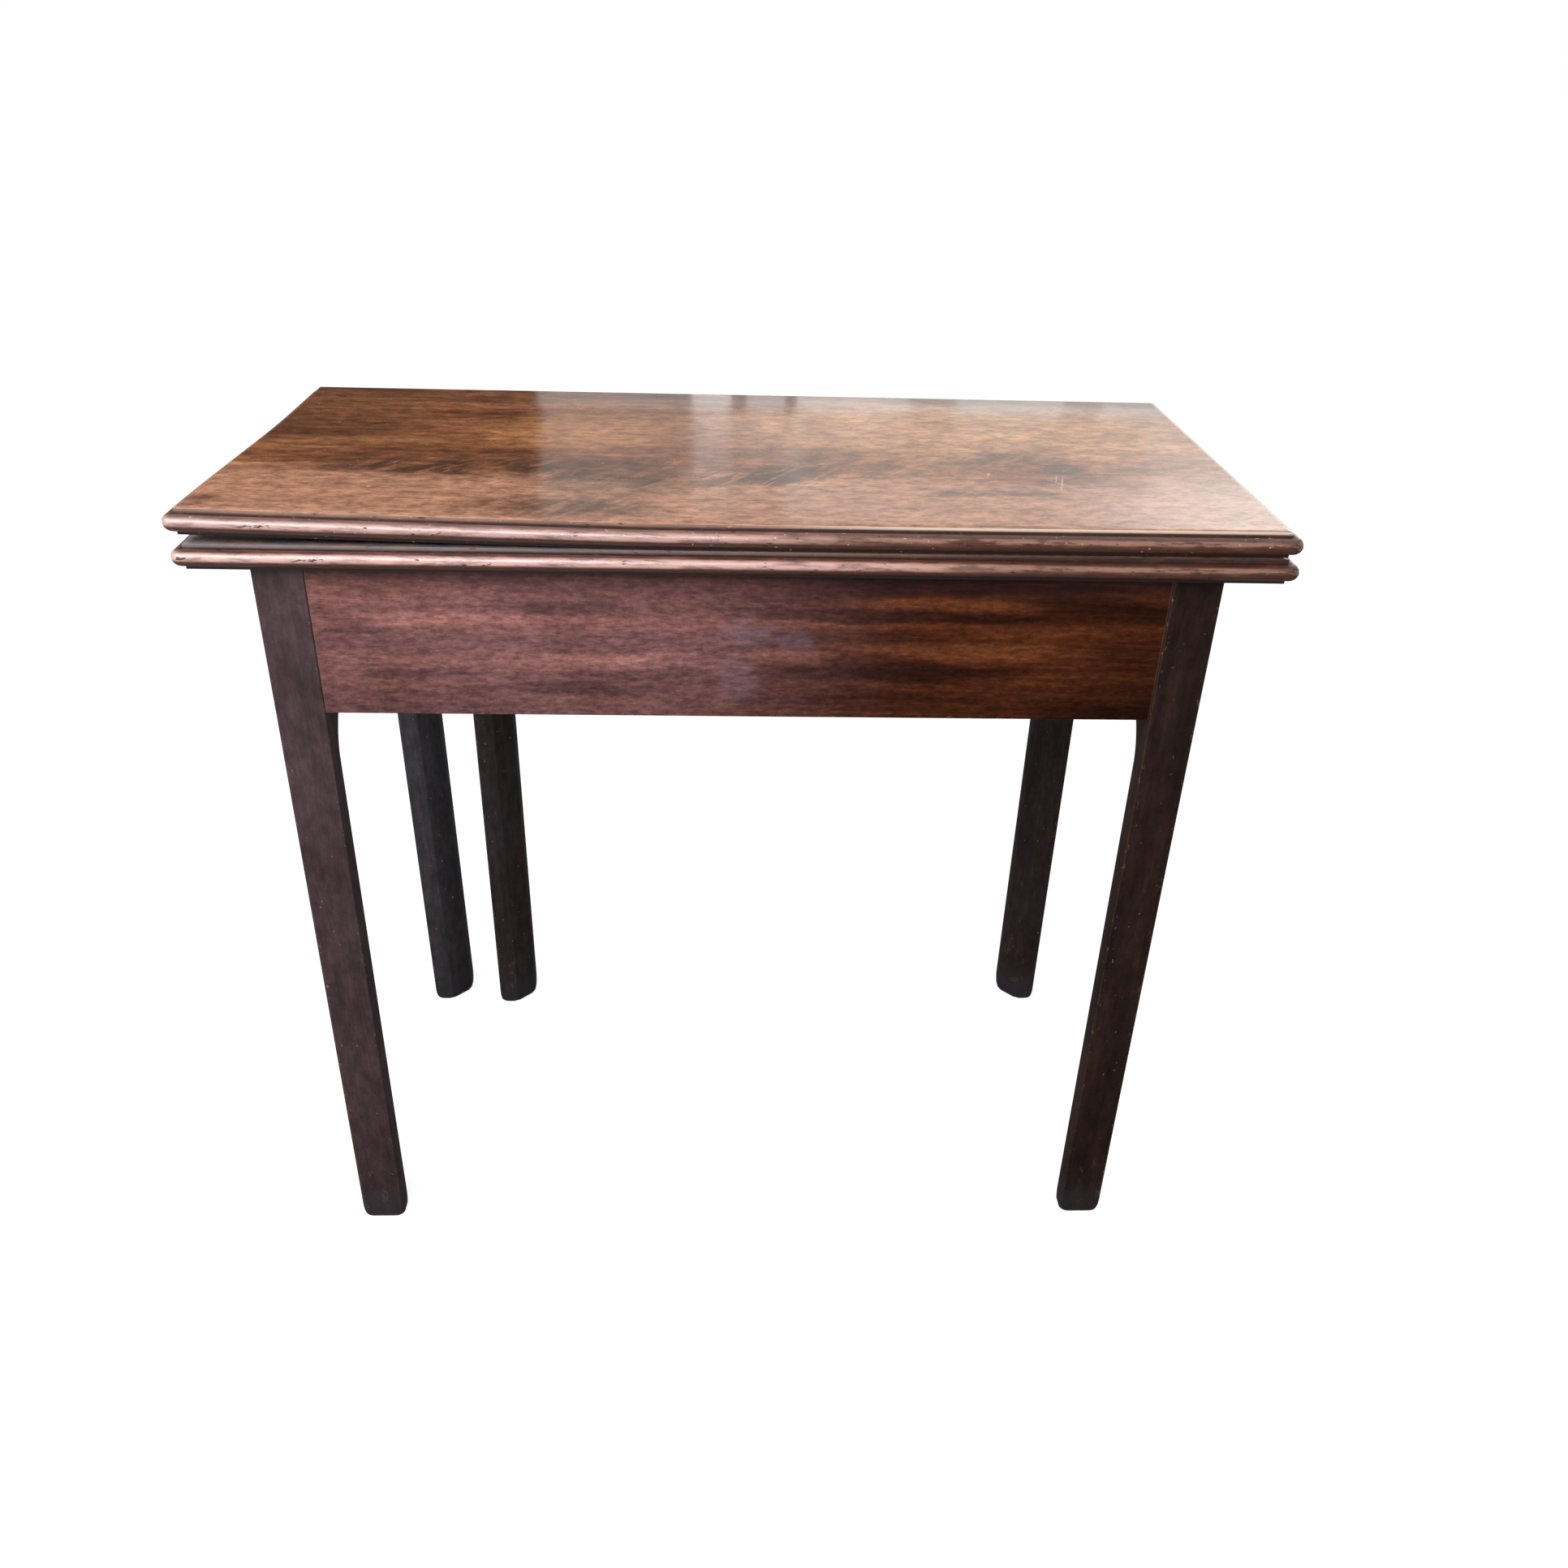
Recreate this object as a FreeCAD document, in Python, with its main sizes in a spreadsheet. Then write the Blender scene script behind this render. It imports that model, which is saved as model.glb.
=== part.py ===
import FreeCAD, Part
import os
import re

import Sketcher

# A fold-over card table, shown closed: two stacked leaves on a frame with five legs.
# X runs along the width, Y from front to back, Z up, in millimetres.
# The origin is on the floor, under the middle of the closed top.

# Driving sizes
SIZES = {
    "leaf_width": 821,          # a leaf from end to end, over its mouldings
    "leaf_depth": 390,          # a leaf from its front moulding to its rear edge
    "leaf_thick": 19,
    "leaf_gap": 0.8,            # between the two closed leaves
    "nose_radius": 6.0,         # the half-round in the middle of a leaf's edge
    "nose_inset": 8.7,          # from the half-round's front to the stepped edges of the flats
    "baize_border_front": 45,   # wood left bare along the front edge
    "baize_border_end": 45,     # and at each end
    "baize_border_rear": 16,    # and along the folding edge
    "baize_recess": 1.0,
    "baize_thick": 0.9,
    "baize_play": 0.5,          # between the cloth's edge and its recess
    "frame_height": 672,        # floor to the underside of the fixed leaf
    "side_overhang": 50,        # leaf end to the outer face of a leg
    "front_overhang": 17.5,
    "rear_overhang": 1,
    "leg_size": 38,
    "leg_chamfer": 18,          # taken off each face at a leg's inner corner
    "chamfer_start": 8,         # from the rail down to the top of the chamfer's run-out
    "chamfer_run": 42,          # length of the run-out
    "foot_round": 5,            # radius round the bottom of a leg
    "rail_height": 120,
    "front_rail_thick": 22,
    "front_rail_setback": 0.5,  # behind the faces of the legs
    "side_rail_thick": 20,
    "side_rail_setback": 1,
    "inner_rail_thick": 12.5,
    "inner_rail_setback": 0.5,
    "tenon_thick": 8,
    "thin_tenon": 6,            # on the thin inner rail and on the swinging rail
    "tenon_length": 20,
    "tenon_shoulder": 10,       # below a tenon
    "tenon_haunch": 14,         # above a tenon
    "tenon_play": 0.15,         # round a tenon in its mortise
    "fly_rail_thick": 19,
    "gate_pivot": 10,           # the wooden knuckle joint, from the middle of the width
    "gate_reach": 289,          # from the knuckle pin to the far face of the swinging leg
    "gate_clearance": 0.6,      # between the gate and the frame that it folds against
    "gate_drop": 0.5,           # from the top of the gate up to the leaf
    "knuckle_play": 0.5,        # round the rounded fingers
    "finger_gap": 0.4,          # between neighbouring fingers
    "knuckle_pin_radius": 3,
    "pin_play": 0.05,           # running clearance round every pin
    "block_length": 45,
    "block_depth": 24,
    "block_height": 30,
    "front_block_spread": 215,  # from the middle to the outer front blocks
    "back_block_spread": 150,
    "wood_screw_head": 4.2,     # radii of the iron wood screws
    "wood_screw_shank": 2,
    "wood_screw_sink": 2.6,
    "top_screw_length": 40,
    "fly_screw_length": 28,
    "fly_screw_inset": 50,      # from the fixed rail's ends
    "fly_screw_rise": 32,       # from the rail's lower and upper edges
    "hinge_set": 6,             # a hinge pin to the folding edge and to the playing face
    "strap_length": 56,
    "strap_thick": 5,
    "strap_play": 0.1,
    "link_thick": 1.8,
    "link_eye": 5.5,            # radius of a link's ends
    "link_play": 0.2,           # on each side of a link in its fork
    "fork_play": 0.8,           # past the link's round end
    "hinge_pin_radius": 1.5,
    "hinge_screw_head": 3.2,
    "hinge_screw_shank": 1.5,
    "hinge_screw_sink": 2,
    "hinge_screw_length": 18,
    "hinge_screw_first": 22,    # from the pin to the first and second screws
    "hinge_screw_second": 44,
    "screw_tip": 5,
    "slot_width": 0.9,
    "slot_depth": 1,
    "screw_play": 0.05,
}

# The wooden knuckle joint has this many fingers, the odd ones on the swinging rail.
FINGERS = 5
LEFT, RIGHT = -1, 1
HANDS = ((LEFT, "left"), (RIGHT, "right"))

# Places worked out from the sizes
PLACES = {
    "half_width": "leaf_width / 2",
    "nose_front": "-leaf_depth / 2",
    "rear_edge": "leaf_depth / 2",
    "lower_play": "frame_height + leaf_thick",
    "upper_play": "lower_play + leaf_gap",
    "leg_out": "half_width - side_overhang",
    "leg_in": "leg_out - leg_size",
    "frame_front": "nose_front + front_overhang",
    "front_legs_back": "frame_front + leg_size",
    "frame_rear": "rear_edge - rear_overhang",
    "back_legs_front": "frame_rear - leg_size",
    "rail_bottom": "frame_height - rail_height",
    "tenon_low": "rail_bottom + tenon_shoulder",
    "tenon_high": "frame_height - tenon_haunch",
    "chamfer_low": "rail_bottom - chamfer_start - chamfer_run",
    "chamfer_slope": "sqrt(2) * leg_chamfer",
    "scoop_radius": "(leg_chamfer^2 / 2 + chamfer_run^2) / chamfer_slope",
    "front_rail_front": "frame_front + front_rail_setback",
    "front_rail_back": "front_rail_front + front_rail_thick",
    "side_rail_out": "leg_out - side_rail_setback",
    "side_rail_in": "side_rail_out - side_rail_thick",
    "inner_rail_front": "back_legs_front + inner_rail_setback",
    "inner_rail_back": "inner_rail_front + inner_rail_thick",
    "fly_front": "inner_rail_back + gate_clearance",
    "fly_back": "fly_front + fly_rail_thick",
    "fly_top": "frame_height - gate_drop",
    "knuckle_radius": "fly_rail_thick / 2",
    "knuckle_reach": "knuckle_radius + knuckle_play",
    "pivot_y": "fly_front + knuckle_radius",
    "gate_far": "gate_pivot - gate_reach",
    "gate_near": "gate_far + leg_size",
    "gate_front": "fly_back - leg_size",
    "block_bottom": "frame_height - block_height",
    "hinge_y": "rear_edge - hinge_set",
    "lower_pin": "lower_play - hinge_set",
    "upper_pin": "upper_play + hinge_set",
    "strap_in": "half_width - strap_thick",
    "strap_middle": "half_width - strap_thick / 2",
    "fork_half": "link_thick / 2 + link_play",
}
# Tools reach this far past the faces that they open.
PAST = 1

# Turns that point a piece's own Z along an axis
X_AXIS, Y_AXIS, Z_AXIS = FreeCAD.Vector(1, 0, 0), FreeCAD.Vector(0, 1, 0), FreeCAD.Vector(0, 0, 1)
UP = FreeCAD.Rotation()
TO_RIGHT = FreeCAD.Rotation(Y_AXIS, 90)
TO_LEFT = FreeCAD.Rotation(Y_AXIS, -90)
TO_BACK = FreeCAD.Rotation(X_AXIS, -90)
TO_FRONT = FreeCAD.Rotation(X_AXIS, 90)

# Turns about an upright axis, in degrees, and the turn of each front corner of a leaf
FULL_TURN, QUARTER_TURN, LOWER_LEFT = 360, 90, 225
CORNER_TURNS = {"left": FreeCAD.Rotation(Z_AXIS, 180), "right": FreeCAD.Rotation(Z_AXIS, -90)}

doc = FreeCAD.newDocument("CardTable")
sheet = doc.addObject("Spreadsheet::Sheet", "Sizes")
for row, (alias, value) in enumerate(SIZES.items(), start=1):
    sheet.set(f"A{row}", alias)
    sheet.set(f"B{row}", str(value))
    sheet.setAlias(f"B{row}", alias)
doc.recompute()

WORD = re.compile(r"[a-z]+(?:_[a-z]+)*")
nodes = []


def cell(text):
    """An expression with each place spelled out and each size pointing at its cell."""

    def spell(match):
        word = match.group(0)
        if word in PLACES:
            return f"({cell(PLACES[word])})"
        return f"Sizes.{word}" if word in SIZES else word

    return WORD.sub(spell, str(text))


def bind(piece, prop, text):
    piece.setExpression(prop, cell(text))


def place(piece, at, turn=UP):
    """Turn a piece and put its own origin at a point."""
    piece.Placement = FreeCAD.Placement(FreeCAD.Vector(), turn)
    for axis, where in zip("xyz", at):
        bind(piece, f"Placement.Base.{axis}", where)
    return piece


def box(name, x, y, z):
    """A block between a low and a high place on each axis."""
    block = doc.addObject("Part::Box", name)
    for size, (low, high) in zip(("Length", "Width", "Height"), (x, y, z)):
        bind(block, size, f"({high}) - ({low})")
    return place(block, (x[0], y[0], z[0]))


def rod(name, at, turn, radius, length):
    piece = doc.addObject("Part::Cylinder", name)
    bind(piece, "Radius", radius)
    bind(piece, "Height", length)
    return place(piece, at, turn)


def fuse(name, pieces):
    whole = doc.addObject("Part::MultiFuse", name)
    whole.Shapes = pieces
    whole.Refine = True
    return whole


def cut(name, base, tools):
    whole = doc.addObject("Part::Cut", name)
    whole.Base = base
    whole.Tool = fuse(f"{name}_tools", tools) if len(tools) > 1 else tools[0]
    whole.Refine = True
    return whole


def node(label, piece):
    """Name a finished sub-part."""
    piece.Label = label
    nodes.append(piece)


def side(sign, near, far):
    """The low and high places of a span that lies to the left or right of the middle."""
    return (near, far) if sign == RIGHT else (f"-({far})", f"-({near})")


def about(middle, width):
    return (f"{middle} - {width} / 2", f"{middle} + {width} / 2")


def grown(span, by):
    low, high = span
    return (f"({low}) - {by}", f"({high}) + {by}")


def outline(body, role, name, points, half_round=None):
    """A closed sketch on one of the body's own planes, with each corner held by two expressions.

    Its edges are straight, but the one numbered half_round is a half circle.
    """
    plane = next(f for f in body.Origin.OriginFeatures if f.Role == role)
    sketch = body.newObject("Sketcher::SketchObject", name)
    sketch.AttachmentSupport = [(plane, "")]
    sketch.MapMode = "FlatFace"
    # A regular start with its first corner at the lower left will do: the expressions then move the corners.
    count = len(points)
    turns = [LOWER_LEFT + FULL_TURN * i / count for i in range(count)]
    ring = [FreeCAD.Rotation(Z_AXIS, turn).multVec(X_AXIS) for turn in turns]
    for i, corner in enumerate(ring):
        following = ring[(i + 1) % count]
        if i == half_round:
            middle = (corner + following) / 2
            bulge = middle + Z_AXIS.cross(corner - middle)
            sketch.addGeometry(Part.Arc(corner, bulge, following))
        else:
            sketch.addGeometry(Part.LineSegment(corner, following))
    for i, (corner, (x, y)) in enumerate(zip(ring, points)):
        sketch.addConstraint(Sketcher.Constraint("Coincident", (i - 1) % count, 2, i, 1))
        for kind, start, axis_line, where in (("DistanceX", corner.x, -2, x), ("DistanceY", corner.y, -1, y)):
            if where == "0":
                sketch.addConstraint(Sketcher.Constraint("PointOnObject", i, 1, axis_line))
            else:
                held = sketch.addConstraint(Sketcher.Constraint(kind, -1, 1, i, 1, start))
                bind(sketch, f"Constraints[{held}]", where)
    if half_round is not None:
        # The arc's centre lies midway between its two ends.
        sketch.addConstraint(Sketcher.Constraint("Symmetric", half_round, 1, half_round, 2, half_round, 3))
    return sketch


def turned(body, name, profile, angle):
    """A sketch turned by an angle about its own upright axis."""
    round_piece = body.newObject("PartDesign::Revolution", name)
    round_piece.Profile = profile
    round_piece.ReferenceAxis = (profile, ["V_Axis"])
    round_piece.Angle = angle
    return round_piece


def screw_body(name, head, shank, sink, length):
    """A countersunk screw with a slotted head, its head at the origin and its point along +Z."""
    body = doc.addObject("PartDesign::Body", name)
    half = outline(body, "XZ_Plane", f"{name}_half", [
        ("0", "0"), (head, "0"), (shank, sink), (shank, f"{length} - screw_tip"), ("0", length)])
    plain = turned(body, f"{name}_turned", half, FULL_TURN)
    across, width = f"{head} + {PAST}", "slot_width / 2"
    slot = outline(body, "XY_Plane", f"{name}_slot", [
        (f"-({across})", f"-{width}"), (across, f"-{width}"), (across, width), (f"-({across})", width)])
    sawn = body.newObject("PartDesign::Pocket", f"{name}_sawn")
    sawn.Profile = slot
    sawn.Reversed = True
    bind(sawn, "Length", "slot_depth")
    doc.recompute()
    if sawn.Shape.Volume >= plain.Shape.Volume:
        raise RuntimeError(f"{name}: the slot cuts nothing")
    return body


def screws(label, body, spots):
    """A group of like screws, one at each spot."""
    copies = []
    for number, (at, turn) in enumerate(spots, start=1):
        copy = doc.addObject("App::Link", f"{label}_copy_{number}")
        copy.LinkedObject = body
        copies.append(place(copy, at, turn))
    whole = doc.addObject("Part::Compound", f"{label}_group")
    whole.Links = copies
    node(label, whole)


def drill(name, at, turn, head, shank, sink, length):
    """The hole for a screw: a countersink and a clearance hole a little deeper than the screw."""
    cone = doc.addObject("Part::Cone", f"{name}_sink")
    bind(cone, "Radius1", f"{head} + screw_play")
    bind(cone, "Radius2", f"{shank} + screw_play")
    bind(cone, "Height", sink)
    hole = rod(f"{name}_hole", at, turn, f"{shank} + screw_play", f"{length} + screw_play")
    return [place(cone, at, turn), hole]


# Legs and rails

RAIL_Z = ("rail_bottom", "frame_height")
TENON_Z = ("tenon_low", "tenon_high")
FRONT_TENON_Y = about("(front_rail_front + front_rail_back) / 2", "tenon_thick")
INNER_TENON_Y = about("(inner_rail_front + inner_rail_back) / 2", "thin_tenon")
FLY_TENON_Y = about("pivot_y", "thin_tenon")
FRONT_LEG_Y = ("frame_front", "front_legs_back")
BACK_LEG_Y = ("back_legs_front", "frame_rear")


def side_tenon_x(sign):
    return side(sign, *about("(side_rail_in + side_rail_out) / 2", "tenon_thick"))


def mortise(name, x, y, z):
    """The socket for a tenon, a little larger than the tenon on every side."""
    return box(name, grown(x, "tenon_play"), grown(y, "tenon_play"), grown(z, "tenon_play"))


def stopped_chamfer(name, x, y, to_x, to_y):
    """A flat down the corner of a leg that faces (to_x, to_y), run out in a hollow below the rail."""
    corner_x, corner_y = x[to_x > 0], y[to_y > 0]
    if to_x == to_y:
        start = (corner_x, f"({corner_y}) - ({to_y}) * leg_chamfer")
    else:
        start = (f"({corner_x}) - ({to_x}) * leg_chamfer", corner_y)
    turn = FreeCAD.Rotation(X_AXIS, FreeCAD.Vector(to_x, to_y, 0))
    flat = doc.addObject("Part::Box", f"{name}_flat")
    bind(flat, "Length", "leg_chamfer")
    bind(flat, "Width", "chamfer_slope")
    bind(flat, "Height", "chamfer_low")
    scoop = doc.addObject("Part::Cylinder", f"{name}_scoop")
    bind(scoop, "Radius", "scoop_radius")
    bind(scoop, "Height", "chamfer_slope")
    out = [f"({at}) + ({to}) * scoop_radius / sqrt(2)" for at, to in zip(start, (to_x, to_y))]
    return [place(flat, (*start, "0"), turn), place(scoop, (*out, "chamfer_low"), turn.multiply(TO_BACK))]


def leg(label, x, y, top, corner, cuts):
    """A square leg with its stopped chamfer, its sockets and a rounded foot."""
    blank = box(f"{label}_blank", x, y, ("0", top))
    shaped = cut(f"{label}_shaped", blank, stopped_chamfer(label, x, y, *corner) + cuts)
    doc.recompute()
    footed = doc.addObject("Part::Fillet", f"{label}_footed")
    footed.Base = shaped
    radius = float(sheet.foot_round)
    footed.Edges = [
        (number, radius, radius)
        for number, edge in enumerate(shaped.Shape.Edges, start=1)
        if edge.BoundBox.ZMax < radius / 2
    ]
    node(label, footed)


for sign, hand in HANDS:
    leg_x = side(sign, "leg_in", "leg_out")
    rail_tenon_x = side(sign, "leg_in", "leg_in + tenon_length")
    front_tenon_end = ("front_legs_back - tenon_length", "front_legs_back")
    back_tenon_end = ("back_legs_front", "back_legs_front + tenon_length")
    leg(f"front_{hand}_leg", leg_x, FRONT_LEG_Y, "frame_height", (-sign, 1), [
        mortise(f"front_{hand}_rail_socket", rail_tenon_x, FRONT_TENON_Y, TENON_Z),
        mortise(f"front_{hand}_side_socket", side_tenon_x(sign), front_tenon_end, TENON_Z)])
    leg(f"back_{hand}_leg", leg_x, BACK_LEG_Y, "frame_height", (-sign, -1), [
        mortise(f"back_{hand}_rail_socket", rail_tenon_x, INNER_TENON_Y, TENON_Z),
        mortise(f"back_{hand}_side_socket", side_tenon_x(sign), back_tenon_end, TENON_Z)])
    node(f"{hand}_side_rail", fuse(f"{hand}_side_rail_whole", [
        box(f"{hand}_side_board", side(sign, "side_rail_in", "side_rail_out"),
            ("front_legs_back", "back_legs_front"), RAIL_Z),
        box(f"{hand}_front_tenon", side_tenon_x(sign), front_tenon_end, TENON_Z),
        box(f"{hand}_back_tenon", side_tenon_x(sign), back_tenon_end, TENON_Z)]))


def cross_rail(name, y, tenon_y):
    """A rail from leg to leg along the width, with a tenon on each end."""
    across = ("-leg_in - tenon_length", "leg_in + tenon_length")
    return fuse(f"{name}_whole", [
        box(f"{name}_board", ("-leg_in", "leg_in"), y, RAIL_Z),
        box(f"{name}_tenons", across, tenon_y, TENON_Z)])


node("front_rail", cross_rail("front_rail", ("front_rail_front", "front_rail_back"), FRONT_TENON_Y))

# The gate: a leg and a rail that swing back on a wooden knuckle joint to carry the open leaf

gate_x = ("gate_far", "gate_near")
gate_y = ("gate_front", "fly_back")
gate_tenon_z = ("tenon_low", "fly_top - tenon_haunch")
gate_tenon_x = ("gate_near - tenon_length", "gate_near")
fly_z = ("rail_bottom", "fly_top")
leg("gate_leg", gate_x, gate_y, "fly_top", (1, -1), [
    box("gate_notch", grown(gate_x, PAST), (f"gate_front - {PAST}", "fly_front"),
        ("rail_bottom - gate_clearance", f"fly_top + {PAST}")),
    mortise("gate_socket", gate_tenon_x, FLY_TENON_Y, gate_tenon_z)])


def fingers(name, kept, x):
    """The gaps between a rail's fingers: cuts at every level that the other rail's fingers fill."""
    gaps = []
    for level in range(FINGERS):
        if level % 2 != kept:
            low = f"rail_bottom + {level} * rail_height / {FINGERS} - finger_gap / 2"
            high = f"rail_bottom + {level + 1} * rail_height / {FINGERS} + finger_gap / 2"
            through = grown(("inner_rail_back", "fly_back"), PAST)
            gaps.append(box(f"{name}_gap_{level}", x, through, (low, high)))
    return gaps


def knuckle_bore(name):
    return rod(name, ("gate_pivot", "pivot_y", f"rail_bottom - {PAST}"), UP,
               "knuckle_pin_radius + pin_play", f"rail_height + 2 * {PAST}")


def knuckle_end(name):
    return rod(name, ("gate_pivot", "pivot_y", "rail_bottom"), UP,
               "knuckle_radius", "fly_top - rail_bottom")


past_end = f"gate_pivot + knuckle_radius + {PAST}"
swing = fuse("swing_fly_rail_blank", [
    box("swing_board", ("gate_near", "gate_pivot"), ("fly_front", "fly_back"), fly_z),
    box("swing_tenon", ("gate_near - tenon_length", "gate_near"), FLY_TENON_Y, gate_tenon_z),
    knuckle_end("swing_end")])
node("swing_fly_rail", cut("swing_fly_rail_cut", swing, [
    *fingers("swing", 1, ("gate_pivot - knuckle_reach", past_end)), knuckle_bore("swing_bore")]))

fly_screw_spots = [
    ((x, "fly_back", z), TO_FRONT)
    for x in ("gate_pivot + fly_screw_inset", "leg_in - fly_screw_inset")
    for z in ("rail_bottom + fly_screw_rise", "frame_height - fly_screw_rise")
]
WOOD_SCREW = ("wood_screw_head", "wood_screw_shank", "wood_screw_sink")
fly_holes = []
for number, (at, turn) in enumerate(fly_screw_spots, start=1):
    fly_holes += drill(f"fly_{number}", at, turn, *WOOD_SCREW, "fly_screw_length")
before_end = f"gate_pivot - knuckle_radius - {PAST}"
fixed = fuse("fixed_fly_rail_blank", [
    box("fixed_board", ("gate_pivot + knuckle_reach", "leg_in"), ("inner_rail_back", "fly_back"), fly_z),
    box("fixed_fingers", ("gate_pivot", "gate_pivot + knuckle_reach"), ("fly_front", "fly_back"), fly_z),
    knuckle_end("fixed_end")])
node("fixed_fly_rail", cut("fixed_fly_rail_cut", fixed, [
    *fingers("fixed", 0, (before_end, "gate_pivot + knuckle_reach")),
    knuckle_bore("fixed_bore"), *fly_holes]))
node("knuckle_pin", rod("knuckle_pin_rod", ("gate_pivot", "pivot_y", "rail_bottom"), UP,
                        "knuckle_pin_radius", "fly_top - rail_bottom"))
inner = cross_rail("inner_back_rail", ("inner_rail_front", "inner_rail_back"), INNER_TENON_Y)
node("inner_back_rail", cut("inner_back_rail_cut", inner, fly_holes))
screws("fly_rail_screws", screw_body("fly_screw", *WOOD_SCREW, "fly_screw_length"), fly_screw_spots)

# Blocks inside the rails, each with a screw up into the fixed leaf

FRONT_BLOCK_Y = ("front_rail_back", "front_rail_back + block_depth")
BACK_BLOCK_Y = ("inner_rail_front - block_depth", "inner_rail_front")
blocks = {
    "front_left_block": (about("-front_block_spread", "block_length"), FRONT_BLOCK_Y),
    "front_middle_block": (about("0", "block_length"), FRONT_BLOCK_Y),
    "front_right_block": (about("front_block_spread", "block_length"), FRONT_BLOCK_Y),
    "left_block": (side(LEFT, "side_rail_in - block_depth", "side_rail_in"), about("0", "block_length")),
    "right_block": (side(RIGHT, "side_rail_in - block_depth", "side_rail_in"), about("0", "block_length")),
    "back_left_block": (about("-back_block_spread", "block_length"), BACK_BLOCK_Y),
    "back_right_block": (about("back_block_spread", "block_length"), BACK_BLOCK_Y),
}
top_screw_spots, top_holes = [], []
for label, (x, y) in blocks.items():
    middle = (f"(({x[0]}) + ({x[1]})) / 2", f"(({y[0]}) + ({y[1]})) / 2", "block_bottom")
    holes = drill(label, middle, UP, *WOOD_SCREW, "top_screw_length")
    node(label, cut(f"{label}_drilled", box(f"{label}_blank", x, y, ("block_bottom", "frame_height")), holes))
    top_screw_spots.append((middle, UP))
    top_holes += holes
screws("top_screws", screw_body("top_screw", *WOOD_SCREW, "top_screw_length"), top_screw_spots)

# Hinges let into the ends of the leaves: two straps, a link between their forks, and two pins

HINGE_SCREW = ("hinge_screw_head", "hinge_screw_shank", "hinge_screw_sink")
LEVELS = {"lower": "lower_pin", "upper": "upper_pin"}
hinge_screw_body = screw_body("hinge_screw", *HINGE_SCREW, "hinge_screw_length")
leaf_hinge_holes = {"lower": [], "upper": []}
for level, pin_z in LEVELS.items():
    spots = []
    for sign, hand in HANDS:
        name = f"{hand}_{level}"
        strap_x = side(sign, "strap_in", "half_width")
        strap_z = grown((pin_z, pin_z), "hinge_set")
        at_pin = (strap_x[0], "hinge_y", pin_z)
        bar = box(f"{name}_bar", strap_x, ("hinge_y - strap_length", "hinge_y"), strap_z)
        eye = rod(f"{name}_eye", at_pin, TO_RIGHT, "hinge_set", "strap_thick")
        fork = box(f"{name}_fork", side(sign, "strap_middle - fork_half", "strap_middle + fork_half"),
                   ("hinge_y - link_eye - fork_play", f"rear_edge + {PAST}"),
                   grown(strap_z, PAST))
        bore = rod(f"{name}_bore", at_pin, TO_RIGHT, "hinge_pin_radius + pin_play", "strap_thick")
        holes = []
        for step in ("hinge_screw_first", "hinge_screw_second"):
            at = (f"({sign}) * half_width", f"hinge_y - {step}", pin_z)
            turn = TO_LEFT if sign == RIGHT else TO_RIGHT
            holes += drill(f"{name}_{step}", at, turn, *HINGE_SCREW, "hinge_screw_length")
            spots.append((at, turn))
        leaf_hinge_holes[level] += holes
        node(f"{hand}_{level}_hinge_strap",
             cut(f"{name}_strap", fuse(f"{name}_strap_blank", [bar, eye]), [fork, bore, *holes]))
        pin = rod(f"{name}_pin", at_pin, TO_RIGHT, "hinge_pin_radius", "strap_thick")
        node(f"{hand}_{level}_hinge_pin", pin)
    screws(f"{level}_hinge_screws", hinge_screw_body, spots)

for sign, hand in HANDS:
    link_x = side(sign, "strap_middle - link_thick / 2", "strap_middle + link_thick / 2")
    plate_y = grown(("hinge_y", "hinge_y"), "link_eye")
    plate = box(f"{hand}_link_plate", link_x, plate_y, ("lower_pin", "upper_pin"))
    eyes = [rod(f"{hand}_{level}_link_eye", (link_x[0], "hinge_y", pin_z), TO_RIGHT, "link_eye", "link_thick")
            for level, pin_z in LEVELS.items()]
    bores = [rod(f"{hand}_{level}_link_bore", (link_x[0], "hinge_y", pin_z), TO_RIGHT,
                 "hinge_pin_radius + pin_play", "link_thick")
             for level, pin_z in LEVELS.items()]
    blank = fuse(f"{hand}_link_blank", [plate, *eyes])
    node(f"{hand}_hinge_link", cut(f"{hand}_link_cut", blank, bores))

# The two leaves and their baize


def turned_corner(name, at, turn):
    """A quarter turn of the edge moulding about the inner corner of its steps."""
    body = doc.addObject("PartDesign::Body", name)
    out, low, high = "nose_inset - nose_radius", "-nose_radius", "nose_radius"
    profile = outline(body, "XZ_Plane", f"{name}_profile", [
        ("0", low), (out, low), (out, high), ("0", high)], half_round=1)
    turned(body, f"{name}_turned", profile, QUARTER_TURN)
    return place(body, at, turn)


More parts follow.
